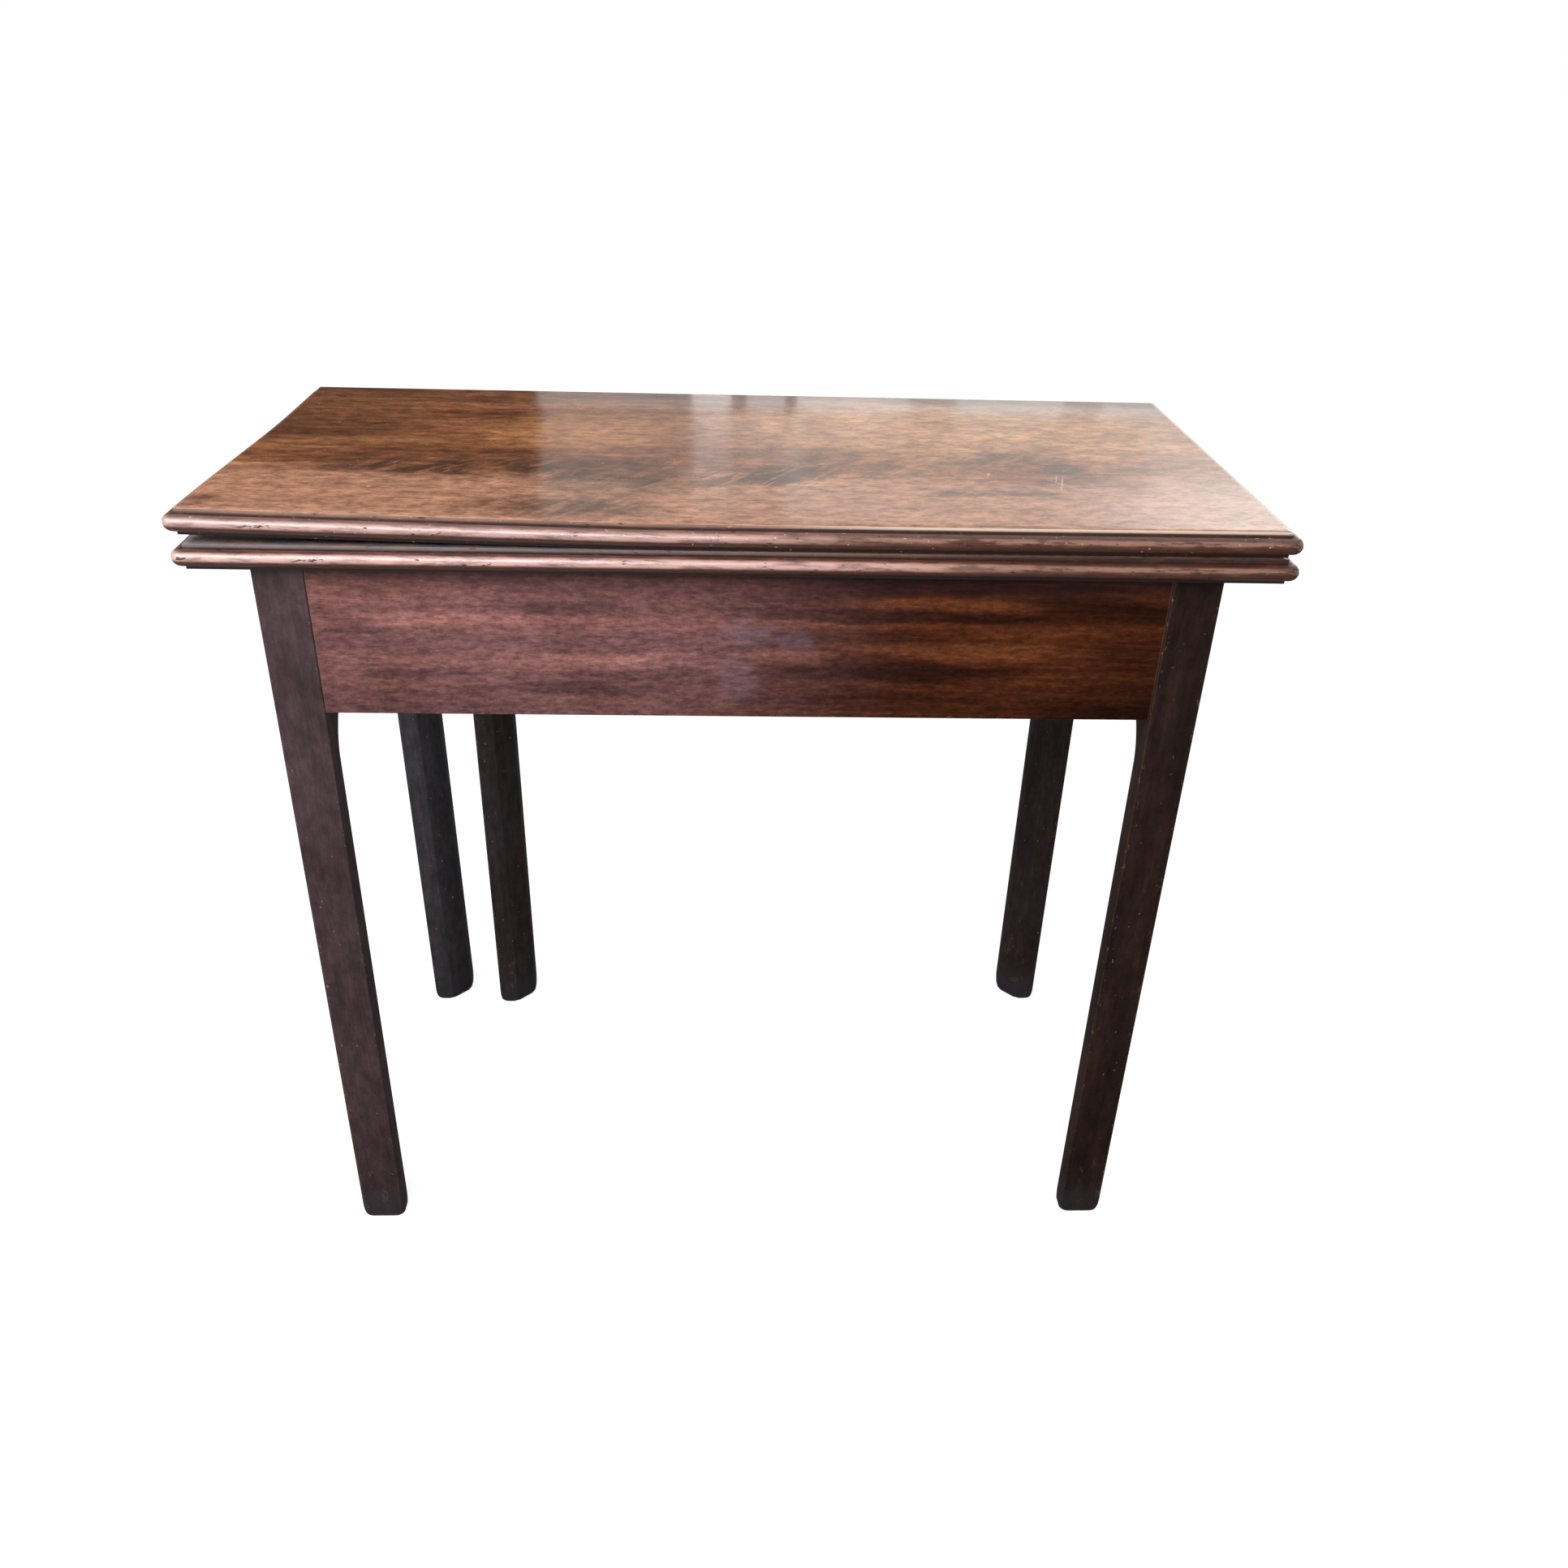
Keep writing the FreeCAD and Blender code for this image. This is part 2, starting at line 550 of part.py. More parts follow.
def moulded_board(name, bottom):
    """A board whose front and end edges have a half-round between two small steps."""
    middle = f"({bottom}) + leaf_thick / 2"
    flats_x = ("-half_width + nose_inset", "half_width - nose_inset")
    flats_y = ("nose_front + nose_inset", "rear_edge")
    round_z = grown((middle, middle), "nose_radius")
    quirk_y = ("nose_front + nose_radius", "nose_front + nose_inset")
    pieces = [
        box(f"{name}_flats", flats_x, flats_y, (bottom, f"({bottom}) + leaf_thick")),
        box(f"{name}_front_quirk", flats_x, quirk_y, round_z),
        rod(f"{name}_front_nose", (flats_x[0], quirk_y[0], middle), TO_RIGHT,
            "nose_radius", "leaf_width - 2 * nose_inset")]
    for sign, hand in HANDS:
        corner_x, nose_x = f"({sign}) * (half_width - nose_inset)", f"({sign}) * (half_width - nose_radius)"
        quirk_x = side(sign, "half_width - nose_inset", "half_width - nose_radius")
        pieces += [
            box(f"{name}_{hand}_quirk", quirk_x, flats_y, round_z),
            rod(f"{name}_{hand}_nose", (nose_x, flats_y[0], middle), TO_BACK,
                "nose_radius", "leaf_depth - nose_inset"),
            turned_corner(f"{name}_{hand}_corner", (corner_x, flats_y[0], middle), CORNER_TURNS[hand])]
    return fuse(f"{name}_moulded", pieces)


def rolled_edge(name, pin_z, corner_z):
    """What is taken off a folding edge, so that it rolls about its hinge pin: a corner outside an arc."""
    across = ("-half_width", "half_width")
    corner = box(f"{name}_corner", across, ("hinge_y", f"rear_edge + {PAST}"), corner_z)
    arc = rod(f"{name}_arc", ("-half_width", "hinge_y", pin_z), TO_RIGHT, "hinge_set", "leaf_width")
    return cut(f"{name}_roll", corner, [arc])


def below(face, depth):
    return (f"{face} - ({depth})", face)


def above(face, depth):
    return (face, f"{face} + {depth}")


def leaf(level, bottom, face, into, extra):
    """A leaf with its hinge beds, rolled folding edge, screw holes and a bed with its baize."""
    name, pin_z = f"{level}_board", LEVELS[level]
    bed_x = ("-half_width + baize_border_end", "half_width - baize_border_end")
    bed_y = ("nose_front + baize_border_front", "rear_edge - baize_border_rear")
    bed_z = into(face, "baize_recess")
    strap_y = ("hinge_y - strap_length - strap_play", f"rear_edge + {PAST}")
    strap_z = into(face, "2 * hinge_set + strap_play")
    tools = [box(f"{name}_baize_bed", bed_x, bed_y, bed_z)]
    tools.append(rolled_edge(name, pin_z, into(face, "hinge_set")))
    for sign, hand in HANDS:
        strap_x = side(sign, "strap_in", f"half_width + {PAST}")
        tools.append(box(f"{name}_{hand}_hinge_bed", strap_x, strap_y, strap_z))
    tools += leaf_hinge_holes[level] + extra
    node(f"{level}_leaf", cut(f"{name}_cut", moulded_board(name, bottom), tools))
    floor = bed_z[0] if into is below else f"{bed_z[1]} - baize_thick"
    cloth_z = above(floor, "baize_thick")
    cloth_x, cloth_y = grown(bed_x, "(-baize_play)"), grown(bed_y, "(-baize_play)")
    node(f"{level}_baize", box(f"{level}_cloth", cloth_x, cloth_y, cloth_z))


leaf("lower", "frame_height", "lower_play", below, top_holes)
leaf("upper", "upper_play", "upper_play", above, [])

doc.recompute()
faults = [o.Name for o in doc.Objects if "Invalid" in o.State or "Error" in o.State]
faults += [n.Label for n in nodes if n.Shape.isNull() or not n.Shape.isValid()]
if faults:
    raise RuntimeError(f"these did not build: {faults}")
os.makedirs("parts", exist_ok=True)
for piece in nodes:
    piece.Shape.exportStep(f"parts/{piece.Label}.step")
    print(piece.Label, len(piece.Shape.Solids), "solid, volume", round(piece.Shape.Volume))
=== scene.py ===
# %% [markdown]
# This lesson dresses a fold-over card table. The table is old polished mahogany: two stacked leaves with a
# rounded edge, a plain frieze, four square legs and a fifth leg on a swinging gate. The shapes come from a
# measured model, which is loaded first and never moved. Every piece made here goes where that model says,
# in metres.

import functools
import math

import bmesh
import bpy
from mathutils import Matrix, Vector


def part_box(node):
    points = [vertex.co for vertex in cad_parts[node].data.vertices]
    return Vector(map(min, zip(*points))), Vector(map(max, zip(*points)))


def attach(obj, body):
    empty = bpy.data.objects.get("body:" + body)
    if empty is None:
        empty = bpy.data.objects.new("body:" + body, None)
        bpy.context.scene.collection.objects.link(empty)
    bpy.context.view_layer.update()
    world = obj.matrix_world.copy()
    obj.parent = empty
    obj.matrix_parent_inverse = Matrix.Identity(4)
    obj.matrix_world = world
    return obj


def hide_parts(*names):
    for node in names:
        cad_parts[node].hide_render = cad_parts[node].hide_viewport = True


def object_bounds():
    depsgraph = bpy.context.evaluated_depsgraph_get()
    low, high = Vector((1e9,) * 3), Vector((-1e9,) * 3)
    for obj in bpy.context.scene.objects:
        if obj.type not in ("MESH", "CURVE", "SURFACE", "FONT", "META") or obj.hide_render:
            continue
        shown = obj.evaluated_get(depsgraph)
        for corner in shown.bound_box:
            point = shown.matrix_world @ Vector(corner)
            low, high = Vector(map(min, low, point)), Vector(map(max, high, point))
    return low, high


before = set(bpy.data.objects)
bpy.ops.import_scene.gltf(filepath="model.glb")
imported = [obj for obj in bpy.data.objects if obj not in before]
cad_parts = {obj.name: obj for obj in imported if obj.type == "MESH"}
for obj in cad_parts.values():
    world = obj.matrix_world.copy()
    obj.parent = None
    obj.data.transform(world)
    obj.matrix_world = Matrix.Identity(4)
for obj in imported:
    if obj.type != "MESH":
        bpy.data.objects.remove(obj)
cad_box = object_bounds()
scene = bpy.context.scene
scene.view_settings.view_transform = "Standard"
print("measured box:", [tuple(round(v, 4) for v in corner) for corner in cad_box])

# %% [markdown]
# The camera stands close in front of the table and looks down on it by about thirty degrees. It could be
# placed by eye, but edges of the table that show in the photograph fix it better: its eye point, its three
# turns and its focal length in pixels were solved from them. A focal length in pixels becomes millimetres
# through the sensor's width.

# %% Camera
PHOTO_PIXELS, FOCAL_PIXELS, SENSOR_MM = 1932, 1639.73, 36.0
EYE = Vector((-0.01313, -1.10744, 1.02667))
YAW, PITCH, ROLL = 0.0504, 0.5214, -0.0320

ahead = Vector((math.sin(YAW) * math.cos(PITCH), math.cos(YAW) * math.cos(PITCH), -math.sin(PITCH)))
horizon = Vector((math.cos(YAW), -math.sin(YAW), 0))
down = ahead.cross(horizon)
picture_right = math.cos(ROLL) * horizon + math.sin(ROLL) * down
picture_down = math.cos(ROLL) * down - math.sin(ROLL) * horizon

lens = bpy.data.cameras.new("Camera")
lens.sensor_width = SENSOR_MM
lens.lens = FOCAL_PIXELS / PHOTO_PIXELS * SENSOR_MM
camera = bpy.data.objects.new("Camera", lens)
scene.collection.objects.link(camera)
camera.matrix_world = Matrix.LocRotScale(
    EYE, Matrix((picture_right, -picture_down, -ahead)).transposed().to_quaternion(), None)
scene.camera = camera
print(f"camera: {lens.lens:.2f} mm lens, {EYE.z:.3f} m above the floor")

# %% [markdown]
# Materials here are built from nodes. A few small helpers keep that readable: one adds a node and fills its
# sockets, and the others wrap the nodes that wood needs again and again. A socket may be given a number, a
# colour, or another node's output, and a helper finds its node tree from the outputs that it is given.

# %% Node helpers
LINKABLE = (bpy.types.Node, bpy.types.NodeSocket)


def tree_of(*values):
    """The node tree of the first node or output among some values."""
    return next(value.id_data for value in values if isinstance(value, LINKABLE))


def give(socket, value):
    """Fill a socket: link an output, or the first one of a node, or set a plain value."""
    if isinstance(value, bpy.types.Node):
        value = value.outputs[0]
    if isinstance(value, bpy.types.NodeSocket):
        socket.id_data.links.new(value, socket)
    else:
        socket.default_value = value


def fill(node, **sockets):
    """Fill a node's sockets, named as in Blender, with _ for a space."""
    for key, value in sockets.items():
        give(node.inputs[key.replace("_", " ")], value)
    return node


def add(tree, kind, settings=None, **sockets):
    """Add a node with some settings of its own."""
    made = tree.nodes.new(kind)
    for key, value in (settings or {}).items():
        setattr(made, key, value)
    return fill(made, **sockets)


def work_out(operation, *values, kind="ShaderNodeMath"):
    """One sum of numbers or, with the other kind of node, of vectors."""
    made = add(tree_of(*values), kind, {"operation": operation})
    for socket, value in zip(made.inputs, values):
        give(socket, value)
    return made.outputs[0]


def times(*values):
    """Several numbers multiplied."""
    return functools.reduce(lambda total, value: work_out("MULTIPLY", total, value), values)


def most(*masks):
    """The strongest of several masks at each point."""
    return functools.reduce(lambda total, mask: work_out("MAXIMUM", total, mask), masks)


def shifted(start, value, factor):
    """A number moved by a value times a factor."""
    return work_out("MULTIPLY_ADD", value, factor, start)


def fade(value, low, high, start=0.0, end=1.0):
    """Fade softly from start to end as value goes from low to high."""
    return add(value.id_data, "ShaderNodeMapRange", {"interpolation_type": "SMOOTHSTEP"}, Value=value,
               From_Min=low, From_Max=high, To_Min=start, To_Max=end).outputs["Result"]


def cloud(place, detail=3.0, roughness=0.55, distortion=0.0):
    """Soft noise of about one wave for each unit of a vector."""
    return add(place.id_data, "ShaderNodeTexNoise", Vector=place, Scale=1.0, Detail=detail,
               Roughness=roughness, Distortion=distortion).outputs["Fac"]


def noise(vector, scale, *looks, shift=(0, 0, 0), turn=0.0):
    """Soft noise with so many waves to a metre each way, turned about the third axis first."""
    if turn:
        vector = add(vector.id_data, "ShaderNodeVectorRotate", {"rotation_type": "Z_AXIS"}, Vector=vector,
                     Angle=turn)
    place = add(vector.id_data, "ShaderNodeMapping", Vector=vector, Scale=scale, Location=shift)
    return cloud(place, *looks)


def centred(vector, scale, *looks):
    """Soft noise about zero, for moving things a little both ways."""
    return work_out("SUBTRACT", noise(vector, scale, *looks), 0.5)


def lay(first, second, *shares, mode="MIX"):
    """Lay a second colour over a first one, by shares from 0 to 1 that are multiplied."""
    share = times(*shares)
    made = add(tree_of(share, first, second), "ShaderNodeMix", {"data_type": "RGBA", "blend_type": mode})
    for index, value in ((0, share), (6, first), (7, second)):
        give(made.inputs[index], value)
    return made.outputs[2]


def shade(colour, factor):
    """A colour made darker or lighter by a factor."""
    grey = add(factor.id_data, "ShaderNodeCombineXYZ", X=factor, Y=factor, Z=factor)
    return lay(colour, grey, 1.0, mode="MULTIPLY")


def steps(value, stops):
    """A colour ramp through (place, colour) stops."""
    made = add(value.id_data, "ShaderNodeValToRGB", Fac=value)
    ramp = made.color_ramp
    while len(ramp.elements) < len(stops):
        ramp.elements.new(1.0)
    for element, (place, colour) in zip(ramp.elements, stops):
        element.position = place
        element.color = colour
    return made.outputs["Color"]


def smear(along, across, edge, *patches):
    """Soft long patches, given by middles and half sizes. They fade out from a share of their size."""
    masks = []
    for middle_along, middle_across, half_along, half_across in patches:
        far_along = work_out("DIVIDE", work_out("SUBTRACT", along, middle_along), half_along)
        far_across = work_out("DIVIDE", work_out("SUBTRACT", across, middle_across), half_across)
        far = work_out("ADD", times(far_along, far_along), times(far_across, far_across))
        masks.append(fade(far, edge * edge, 1.0, 1.0, 0.0))
    return most(*masks)


def parts_of(vector):
    return add(vector.id_data, "ShaderNodeSeparateXYZ", Vector=vector).outputs


def own(tree, name):
    """A vector that the piece's mesh carries under a name."""
    return add(tree, "ShaderNodeAttribute", {"attribute_name": name}).outputs["Vector"]


def rgb(red, green, blue):
    return (red, green, blue, 1.0)


def new_group(name, inputs, outputs):
    """A shader group with named sockets. Returns it, its input sockets and its output node."""
    group = bpy.data.node_groups.new(name, "ShaderNodeTree")
    kinds = {"vector": "NodeSocketVector", "value": "NodeSocketFloat"}
    for label, kind in inputs.items():
        group.interface.new_socket(name=label, in_out="INPUT", socket_type=kinds[kind])
    for label in outputs:
        group.interface.new_socket(name=label, in_out="OUTPUT", socket_type=kinds["value"])
    return group, group.nodes.new("NodeGroupInput").outputs, group.nodes.new("NodeGroupOutput")


def use_group(group, **sockets):
    return add(tree_of(*sockets.values()), "ShaderNodeGroup", {"node_tree": group}, **sockets).outputs


print("node helpers are ready")

# %% [markdown]
# Every board of this table shows the same things at different sizes: broad streaks along the fibres, fine
# fibres between them, and open pores, which are short dark dashes. One group makes all three from a vector
# whose first part runs along the fibres. Each piece's mesh carries that vector, so a leg's streaks run up
# it and a rail's run along it.

# %% Grain of the timber
VECTORS = "ShaderNodeVectorMath"

grain_group, given, result = new_group(
    "Timber grain",
    {"Grain": "vector", "Streak Length": "value", "Streak Width": "value", "Waver": "value"},
    ("Streaks", "Fibres", "Pores"))
waver = times(centred(given["Grain"], (5, 9, 9), 2), given["Waver"])
sway = add(grain_group, "ShaderNodeCombineXYZ", X=0.0, Y=waver, Z=waver)
swayed = work_out("ADD", given["Grain"], sway, kind=VECTORS)
width_scale = work_out("DIVIDE", 1.0, given["Streak Width"])
length_scale = work_out("DIVIDE", 1.0, given["Streak Length"])
streak_scale = add(grain_group, "ShaderNodeCombineXYZ", X=length_scale, Y=width_scale, Z=width_scale)
streak_place = add(grain_group, "ShaderNodeMapping", Vector=swayed, Scale=streak_scale)
fill(result, Streaks=cloud(streak_place, 5, 0.6, 0.35), Fibres=noise(swayed, (16, 520, 520), 3, 0.6),
     Pores=fade(noise(swayed, (110, 1500, 1500), 2, 0.5), 0.60, 0.74))
print("group:", grain_group.name)

# %% [markdown]
# Two centuries of hands, cloths and brooms rub the corners of a board. The mesh carries each point's place
# from the middle of its board and the board's half size. The two smallest distances to the board's faces
# tell how near a corner is: the smallest is the face that the point lies on, so the middle one of the three
# is the way to the arris. Noise breaks the rubbed line up, and a finer noise keeps only small nicks.

# %% Wear along the arrises
wear_group, given, result = new_group(
    "Worn arrises",
    {"Grain": "vector", "From Middle": "vector", "Half Size": "vector", "Reach": "value"},
    ("Rub", "Nicks"))
folded = work_out("ABSOLUTE", given["From Middle"], kind=VECTORS)
deep_x, deep_y, deep_z = parts_of(work_out("SUBTRACT", given["Half Size"], folded, kind=VECTORS))
lesser, greater = (work_out(how, deep_x, deep_y) for how in ("MINIMUM", "MAXIMUM"))
to_arris = work_out("MAXIMUM", lesser, work_out("MINIMUM", greater, deep_z))
ragged_reach = times(given["Reach"], times(noise(given["Grain"], (45, 160, 160), 4, 0.65), 2.0))
chips = fade(noise(given["Grain"], (190, 420, 420), 2, 0.5), 0.63, 0.70)
near = fade(to_arris, 0.0, times(given["Reach"], 3.5), 1.0, 0.0)
fill(result, Rub=fade(to_arris, 0.0, ragged_reach, 1.0, 0.0), Nicks=times(chips, near))


def wear_of(tree, grain, reach):
    """Rub and nicks of a board whose mesh says where its arrises are."""
    return use_group(wear_group, Grain=grain, From_Middle=own(tree, "from_middle"),
                     Half_Size=own(tree, "half_size"), Reach=reach)


print("group:", wear_group.name)

# %% [markdown]
# Old wax polish turns cloudy in places. This bloom is a pale film, uneven and patchy, so a soft noise
# with a wide threshold is enough. The amount says how strong it is.

# %% Bloom of the old polish
bloom_group, given, result = new_group(
    "Polish bloom", {"Grain": "vector", "Size": "value", "Amount": "value"}, ("Bloom",))
patch_place = add(bloom_group, VECTORS, {"operation": "SCALE"}, Vector=given["Grain"],
                  Scale=work_out("DIVIDE", 1.0, given["Size"]))
clouded = fade(cloud(patch_place, 4, 0.6, 0.4), 0.30, 0.75)
fill(result, Bloom=times(clouded, given["Amount"]))


def bloom_of(grain, size, amount):
    return use_group(bloom_group, Grain=grain, Size=size, Amount=amount)["Bloom"]


print("group:", bloom_group.name)

# %% [markdown]
# A material starts as a Principled surface with its gloss set on its own sockets. The relief of fibres,
# pores and nicks goes through one Bump node, in parts of a millimetre, so that it stays right when the
# camera comes near.

# %% A new finish


def new_finish(name, specular=0.5):
    material = bpy.data.materials.new(name)
    material.use_nodes = True
    surface = material.node_tree.nodes["Principled BSDF"]
    fill(surface, Specular_IOR_Level=specular)
    return material, material.node_tree, surface


def relief(surface, height, distance):
    """Raise the surface by height times a distance in metres."""
    bump = add(surface.id_data, "ShaderNodeBump", Strength=1.0, Distance=distance, Height=height)
    fill(surface, Normal=bump)


print("finish helpers are ready")

# %% [markdown]
# The show wood of the top is a flat-sawn mahogany board with a crotch figure: a dark feathered band lies
# across it, and its strokes rise to the right. The band is a soft strip about a bent middle line, and noise
# stretched along the strokes breaks it into feathers. A few dark knots lie beside it.

# %% Feathered figure
STROKE_TURN, PLUME_TURN = math.radians(-52), math.radians(-58)
BAND_MIDDLE, BAND_RISE = -0.056, 0.20
KNOTS = ((0.200, -0.101, 0.062, 0.009), (0.162, -0.098, 0.020, 0.011), (0.262, -0.040, 0.034, 0.018),
         (0.215, -0.010, 0.070, 0.036), (-0.130, -0.153, 0.095, 0.032), (-0.390, -0.160, 0.018, 0.018))


def feathered(colour, grain, drift, ragged):
    """Lay the dark flame, and golden strokes along its front, over a colour."""
    along, across, _ = parts_of(grain)
    feathers = noise(grain, (13, 72, 1), 4, 0.62, 0.5, turn=STROKE_TURN)
    plumes = noise(grain, (6, 15, 1), 3, 0.5, 0.8, shift=(0.3, 0.1, 0), turn=PLUME_TURN)
    middle = shifted(BAND_MIDDLE, work_out("MAXIMUM", along, 0.0), BAND_RISE)
    off = shifted(work_out("SUBTRACT", across, middle), drift, 0.050)
    off = shifted(off, work_out("SUBTRACT", feathers, 0.5), 0.080)
    off = shifted(off, work_out("SUBTRACT", plumes, 0.5), 0.070)
    off = shifted(off, smear(along, across, 0.2, (-0.095, -0.08, 0.130, 0.10)), 0.014)
    band = times(fade(off, -0.032, -0.021), fade(off, 0.060, 0.010))
    reach = times(fade(along, -0.40, -0.26, 0.12, 1.0), fade(along, 0.26, 0.02))
    flame = times(band, reach, fade(feathers, 0.41, 0.53, 0.14, 1.0),
                  fade(plumes, 0.36, 0.58, 0.30, 1.0))
    knots = times(smear(along, ragged, 0.1, *KNOTS), fade(feathers, 0.40, 0.56, 0.34, 0.80))
    clear = smear(along, ragged, 0.1, (-0.255, -0.090, 0.060, 0.020))
    flame = times(most(flame, knots), fade(clear, 0.0, 1.0, 1.0, 0.25))
    colour = lay(colour, rgb(0.060, 0.029, 0.019), flame, 0.90)
    gold = times(fade(off, -0.070, -0.040), fade(off, -0.006, -0.034), fade(feathers, 0.50, 0.60),
                 fade(along, 0.30, 0.05))
    return lay(colour, rgb(0.580, 0.290, 0.170), gold, 0.45)


print("figure:", len(KNOTS), "knots beside the flame")

# %% [markdown]
# The moulded edge is redder than the top. Towards the left it is painted pale, a painted highlight for the
# broad shine that the real edge catches there, and towards the right it is painted darker, with one painted
# highlight line. Painted shade lies on its lower half and on its lower step, black dirt and painted shade
# fill the little upper step, the top's arris carries a painted highlight, and knocks have left dark
# bruises. All of these depend on how far a point lies inward from the edge of the board and how high on
# its thickness.

# %% Moulded edge
HALF_WIDTH = (cad_box[1][0] - cad_box[0][0]) / 2
NOSE_FRONT = cad_box[0][1]
NOSE_DEPTH, NOSE_RADIUS = 0.0087, 0.0060
# How much further right the painted pale highlight reaches, how much lighter it is, how strong the painted
# highlight on the top's arris is, and where along the noise the bruises are taken from
FOLDING_EDGE, FIXED_EDGE = (0.0, 1.0, 0.90, 3.1), (0.12, 1.20, 0.0, 0.0)


def moulded(colour, grain, mottle, folding):
    """Lay the moulded nose, with its painted highlights and shade, over a colour. Returns the colour and the
    masks that the polish follows.
    """
    along, across, height = parts_of(grain)
    from_end = work_out("SUBTRACT", HALF_WIDTH, work_out("ABSOLUTE", along))
    inward = work_out("MINIMUM", from_end, work_out("SUBTRACT", across, NOSE_FRONT))
    moulding = fade(inward, NOSE_DEPTH + 0.0006, NOSE_DEPTH - 0.0002)
    rub_and_highlight_noise = noise(grain, (38, 260, 260), 4, 0.7)
    red = steps(rub_and_highlight_noise, [(0.30, rgb(0.040, 0.011, 0.006)), (0.50, rgb(0.095, 0.029, 0.016)),
                         (0.72, rgb(0.210, 0.080, 0.048))])
    # Painted pale highlight towards the left, painted shade towards the right with one painted highlight
    # line, and painted shade on the lower half
    further, lighter, arris_highlight, taken_from = FOLDING_EDGE if folding else FIXED_EDGE
    leftward = fade(along, further + 0.20, further - 0.08)
    pinker, browner = (rgb(*(lighter * part for part in wood))
                       for wood in ((0.480, 0.285, 0.255), (0.400, 0.205, 0.140)))
    painted_pale_highlight = lay(pinker, browner, fade(along, further - 0.12, further + 0.16))
    red = lay(red, painted_pale_highlight, fade(leftward, 0.0, 1.0, 0.0, 0.90), fade(height, 0.0058, 0.0040),
              fade(height, -0.0020, 0.0010), fade(rub_and_highlight_noise, 0.32, 0.58, 0.30, 1.0))
    # Painted shade: the nose is darker towards the right, away from the light
    red = lay(red, rgb(0.028, 0.0075, 0.004), fade(leftward, 0.0, 0.8, 0.50, 0.0))
    # Painted highlight: one pale line along the front of the nose, stronger towards the right
    red = lay(red, rgb(0.430, 0.235, 0.170), fade(height, 0.0048, 0.0036),
              fade(height, 0.0002, 0.0016), fade(rub_and_highlight_noise, 0.38, 0.56),
              fade(leftward, 0.0, 1.0, 0.42, 0.0))
    # Painted shade on the lower half of the nose
    red = lay(red, rgb(0.050, 0.012, 0.007), fade(height, -0.0004, -0.0026), 0.92)
    colour = lay(colour, red, moulding, 0.95)
    # Black dirt and painted shade in the upper step, painted shade on the lower step, and a painted
    # highlight on the arris between the top and its step
    dirt_and_step_shade = times(fade(inward, NOSE_RADIUS - 0.0008, NOSE_RADIUS + 0.0006),
                 fade(inward, NOSE_DEPTH + 0.0007, NOSE_DEPTH), fade(mottle, 0.30, 0.55, 0.45, 1.0),
                 fade(shifted(height, leftward, 0.0018), 0.0094, 0.0082, 0.15, 0.92))
    colour = lay(colour, rgb(0.022, 0.011, 0.010), dirt_and_step_shade)
    # Painted shade on the lower step
    lower_step_shade = times(fade(height, -0.0050, -0.0062),
                  fade(inward, NOSE_DEPTH + 0.0016, NOSE_DEPTH + 0.0008))
    colour = lay(colour, rgb(0.016, 0.008, 0.007), lower_step_shade, 0.92)
    # Painted highlight on the arris of the top, stronger towards the right
    colour = lay(colour, rgb(0.760, 0.570, 0.450), fade(inward, NOSE_DEPTH + 0.0024, NOSE_DEPTH + 0.0009),
                 fade(height, 0.0070, 0.0090), fade(leftward, 1.0, 0.0, 0.10, arris_highlight))
    bruises = noise(grain, (95, 290, 290), 3, 0.6, shift=(taken_from, 0, 0))
    bruises = times(fade(bruises, 0.645, 0.690), moulding)
    colour = lay(colour, rgb(0.018, 0.008, 0.007), bruises, 0.9)
    return colour, inward, moulding, leftward, most(dirt_and_step_shade, bruises, lower_step_shade), bruises


print(f"moulded edge: {NOSE_DEPTH * 1000:.1f} mm deep, {NOSE_RADIUS * 1000:.1f} mm radius")

# %% [markdown]
# The whole leaf goes from large to small: streaks of the timber, broad golden and dark places, a painted
# lighter strip along the front for reflected light, the feathered figure, fibres and mottle, the moulded
# edge, and then what use has left. The folding leaf has pale scratches. The fixed one has a painted
# blue-grey reflection on the border that the folding leaf covers, fading to painted shade further in. The
# polish is smooth on the top and duller on the edge.

# %% Leaf mahogany
BROAD_PLACES = (
    (0.1, (-0.40, 0.07, 0.16, 0.10), 0.55, rgb(0.070, 0.026, 0.012)),
    (0.1, (-0.135, 0.060, 0.105, 0.080), 0.55, rgb(0.520, 0.228, 0.088)),
    (0.3, (0.230, 0.080, 0.330, 0.120), 0.66, rgb(0.660, 0.335, 0.160)))
SCRATCHES = ((0.273, -0.074, 0.0011, 0.026), (0.268, -0.062, 0.0008, 0.012),
             (-0.252, -0.119, 0.0022, 0.0028), (0.212, -0.052, 0.0016, 0.006))


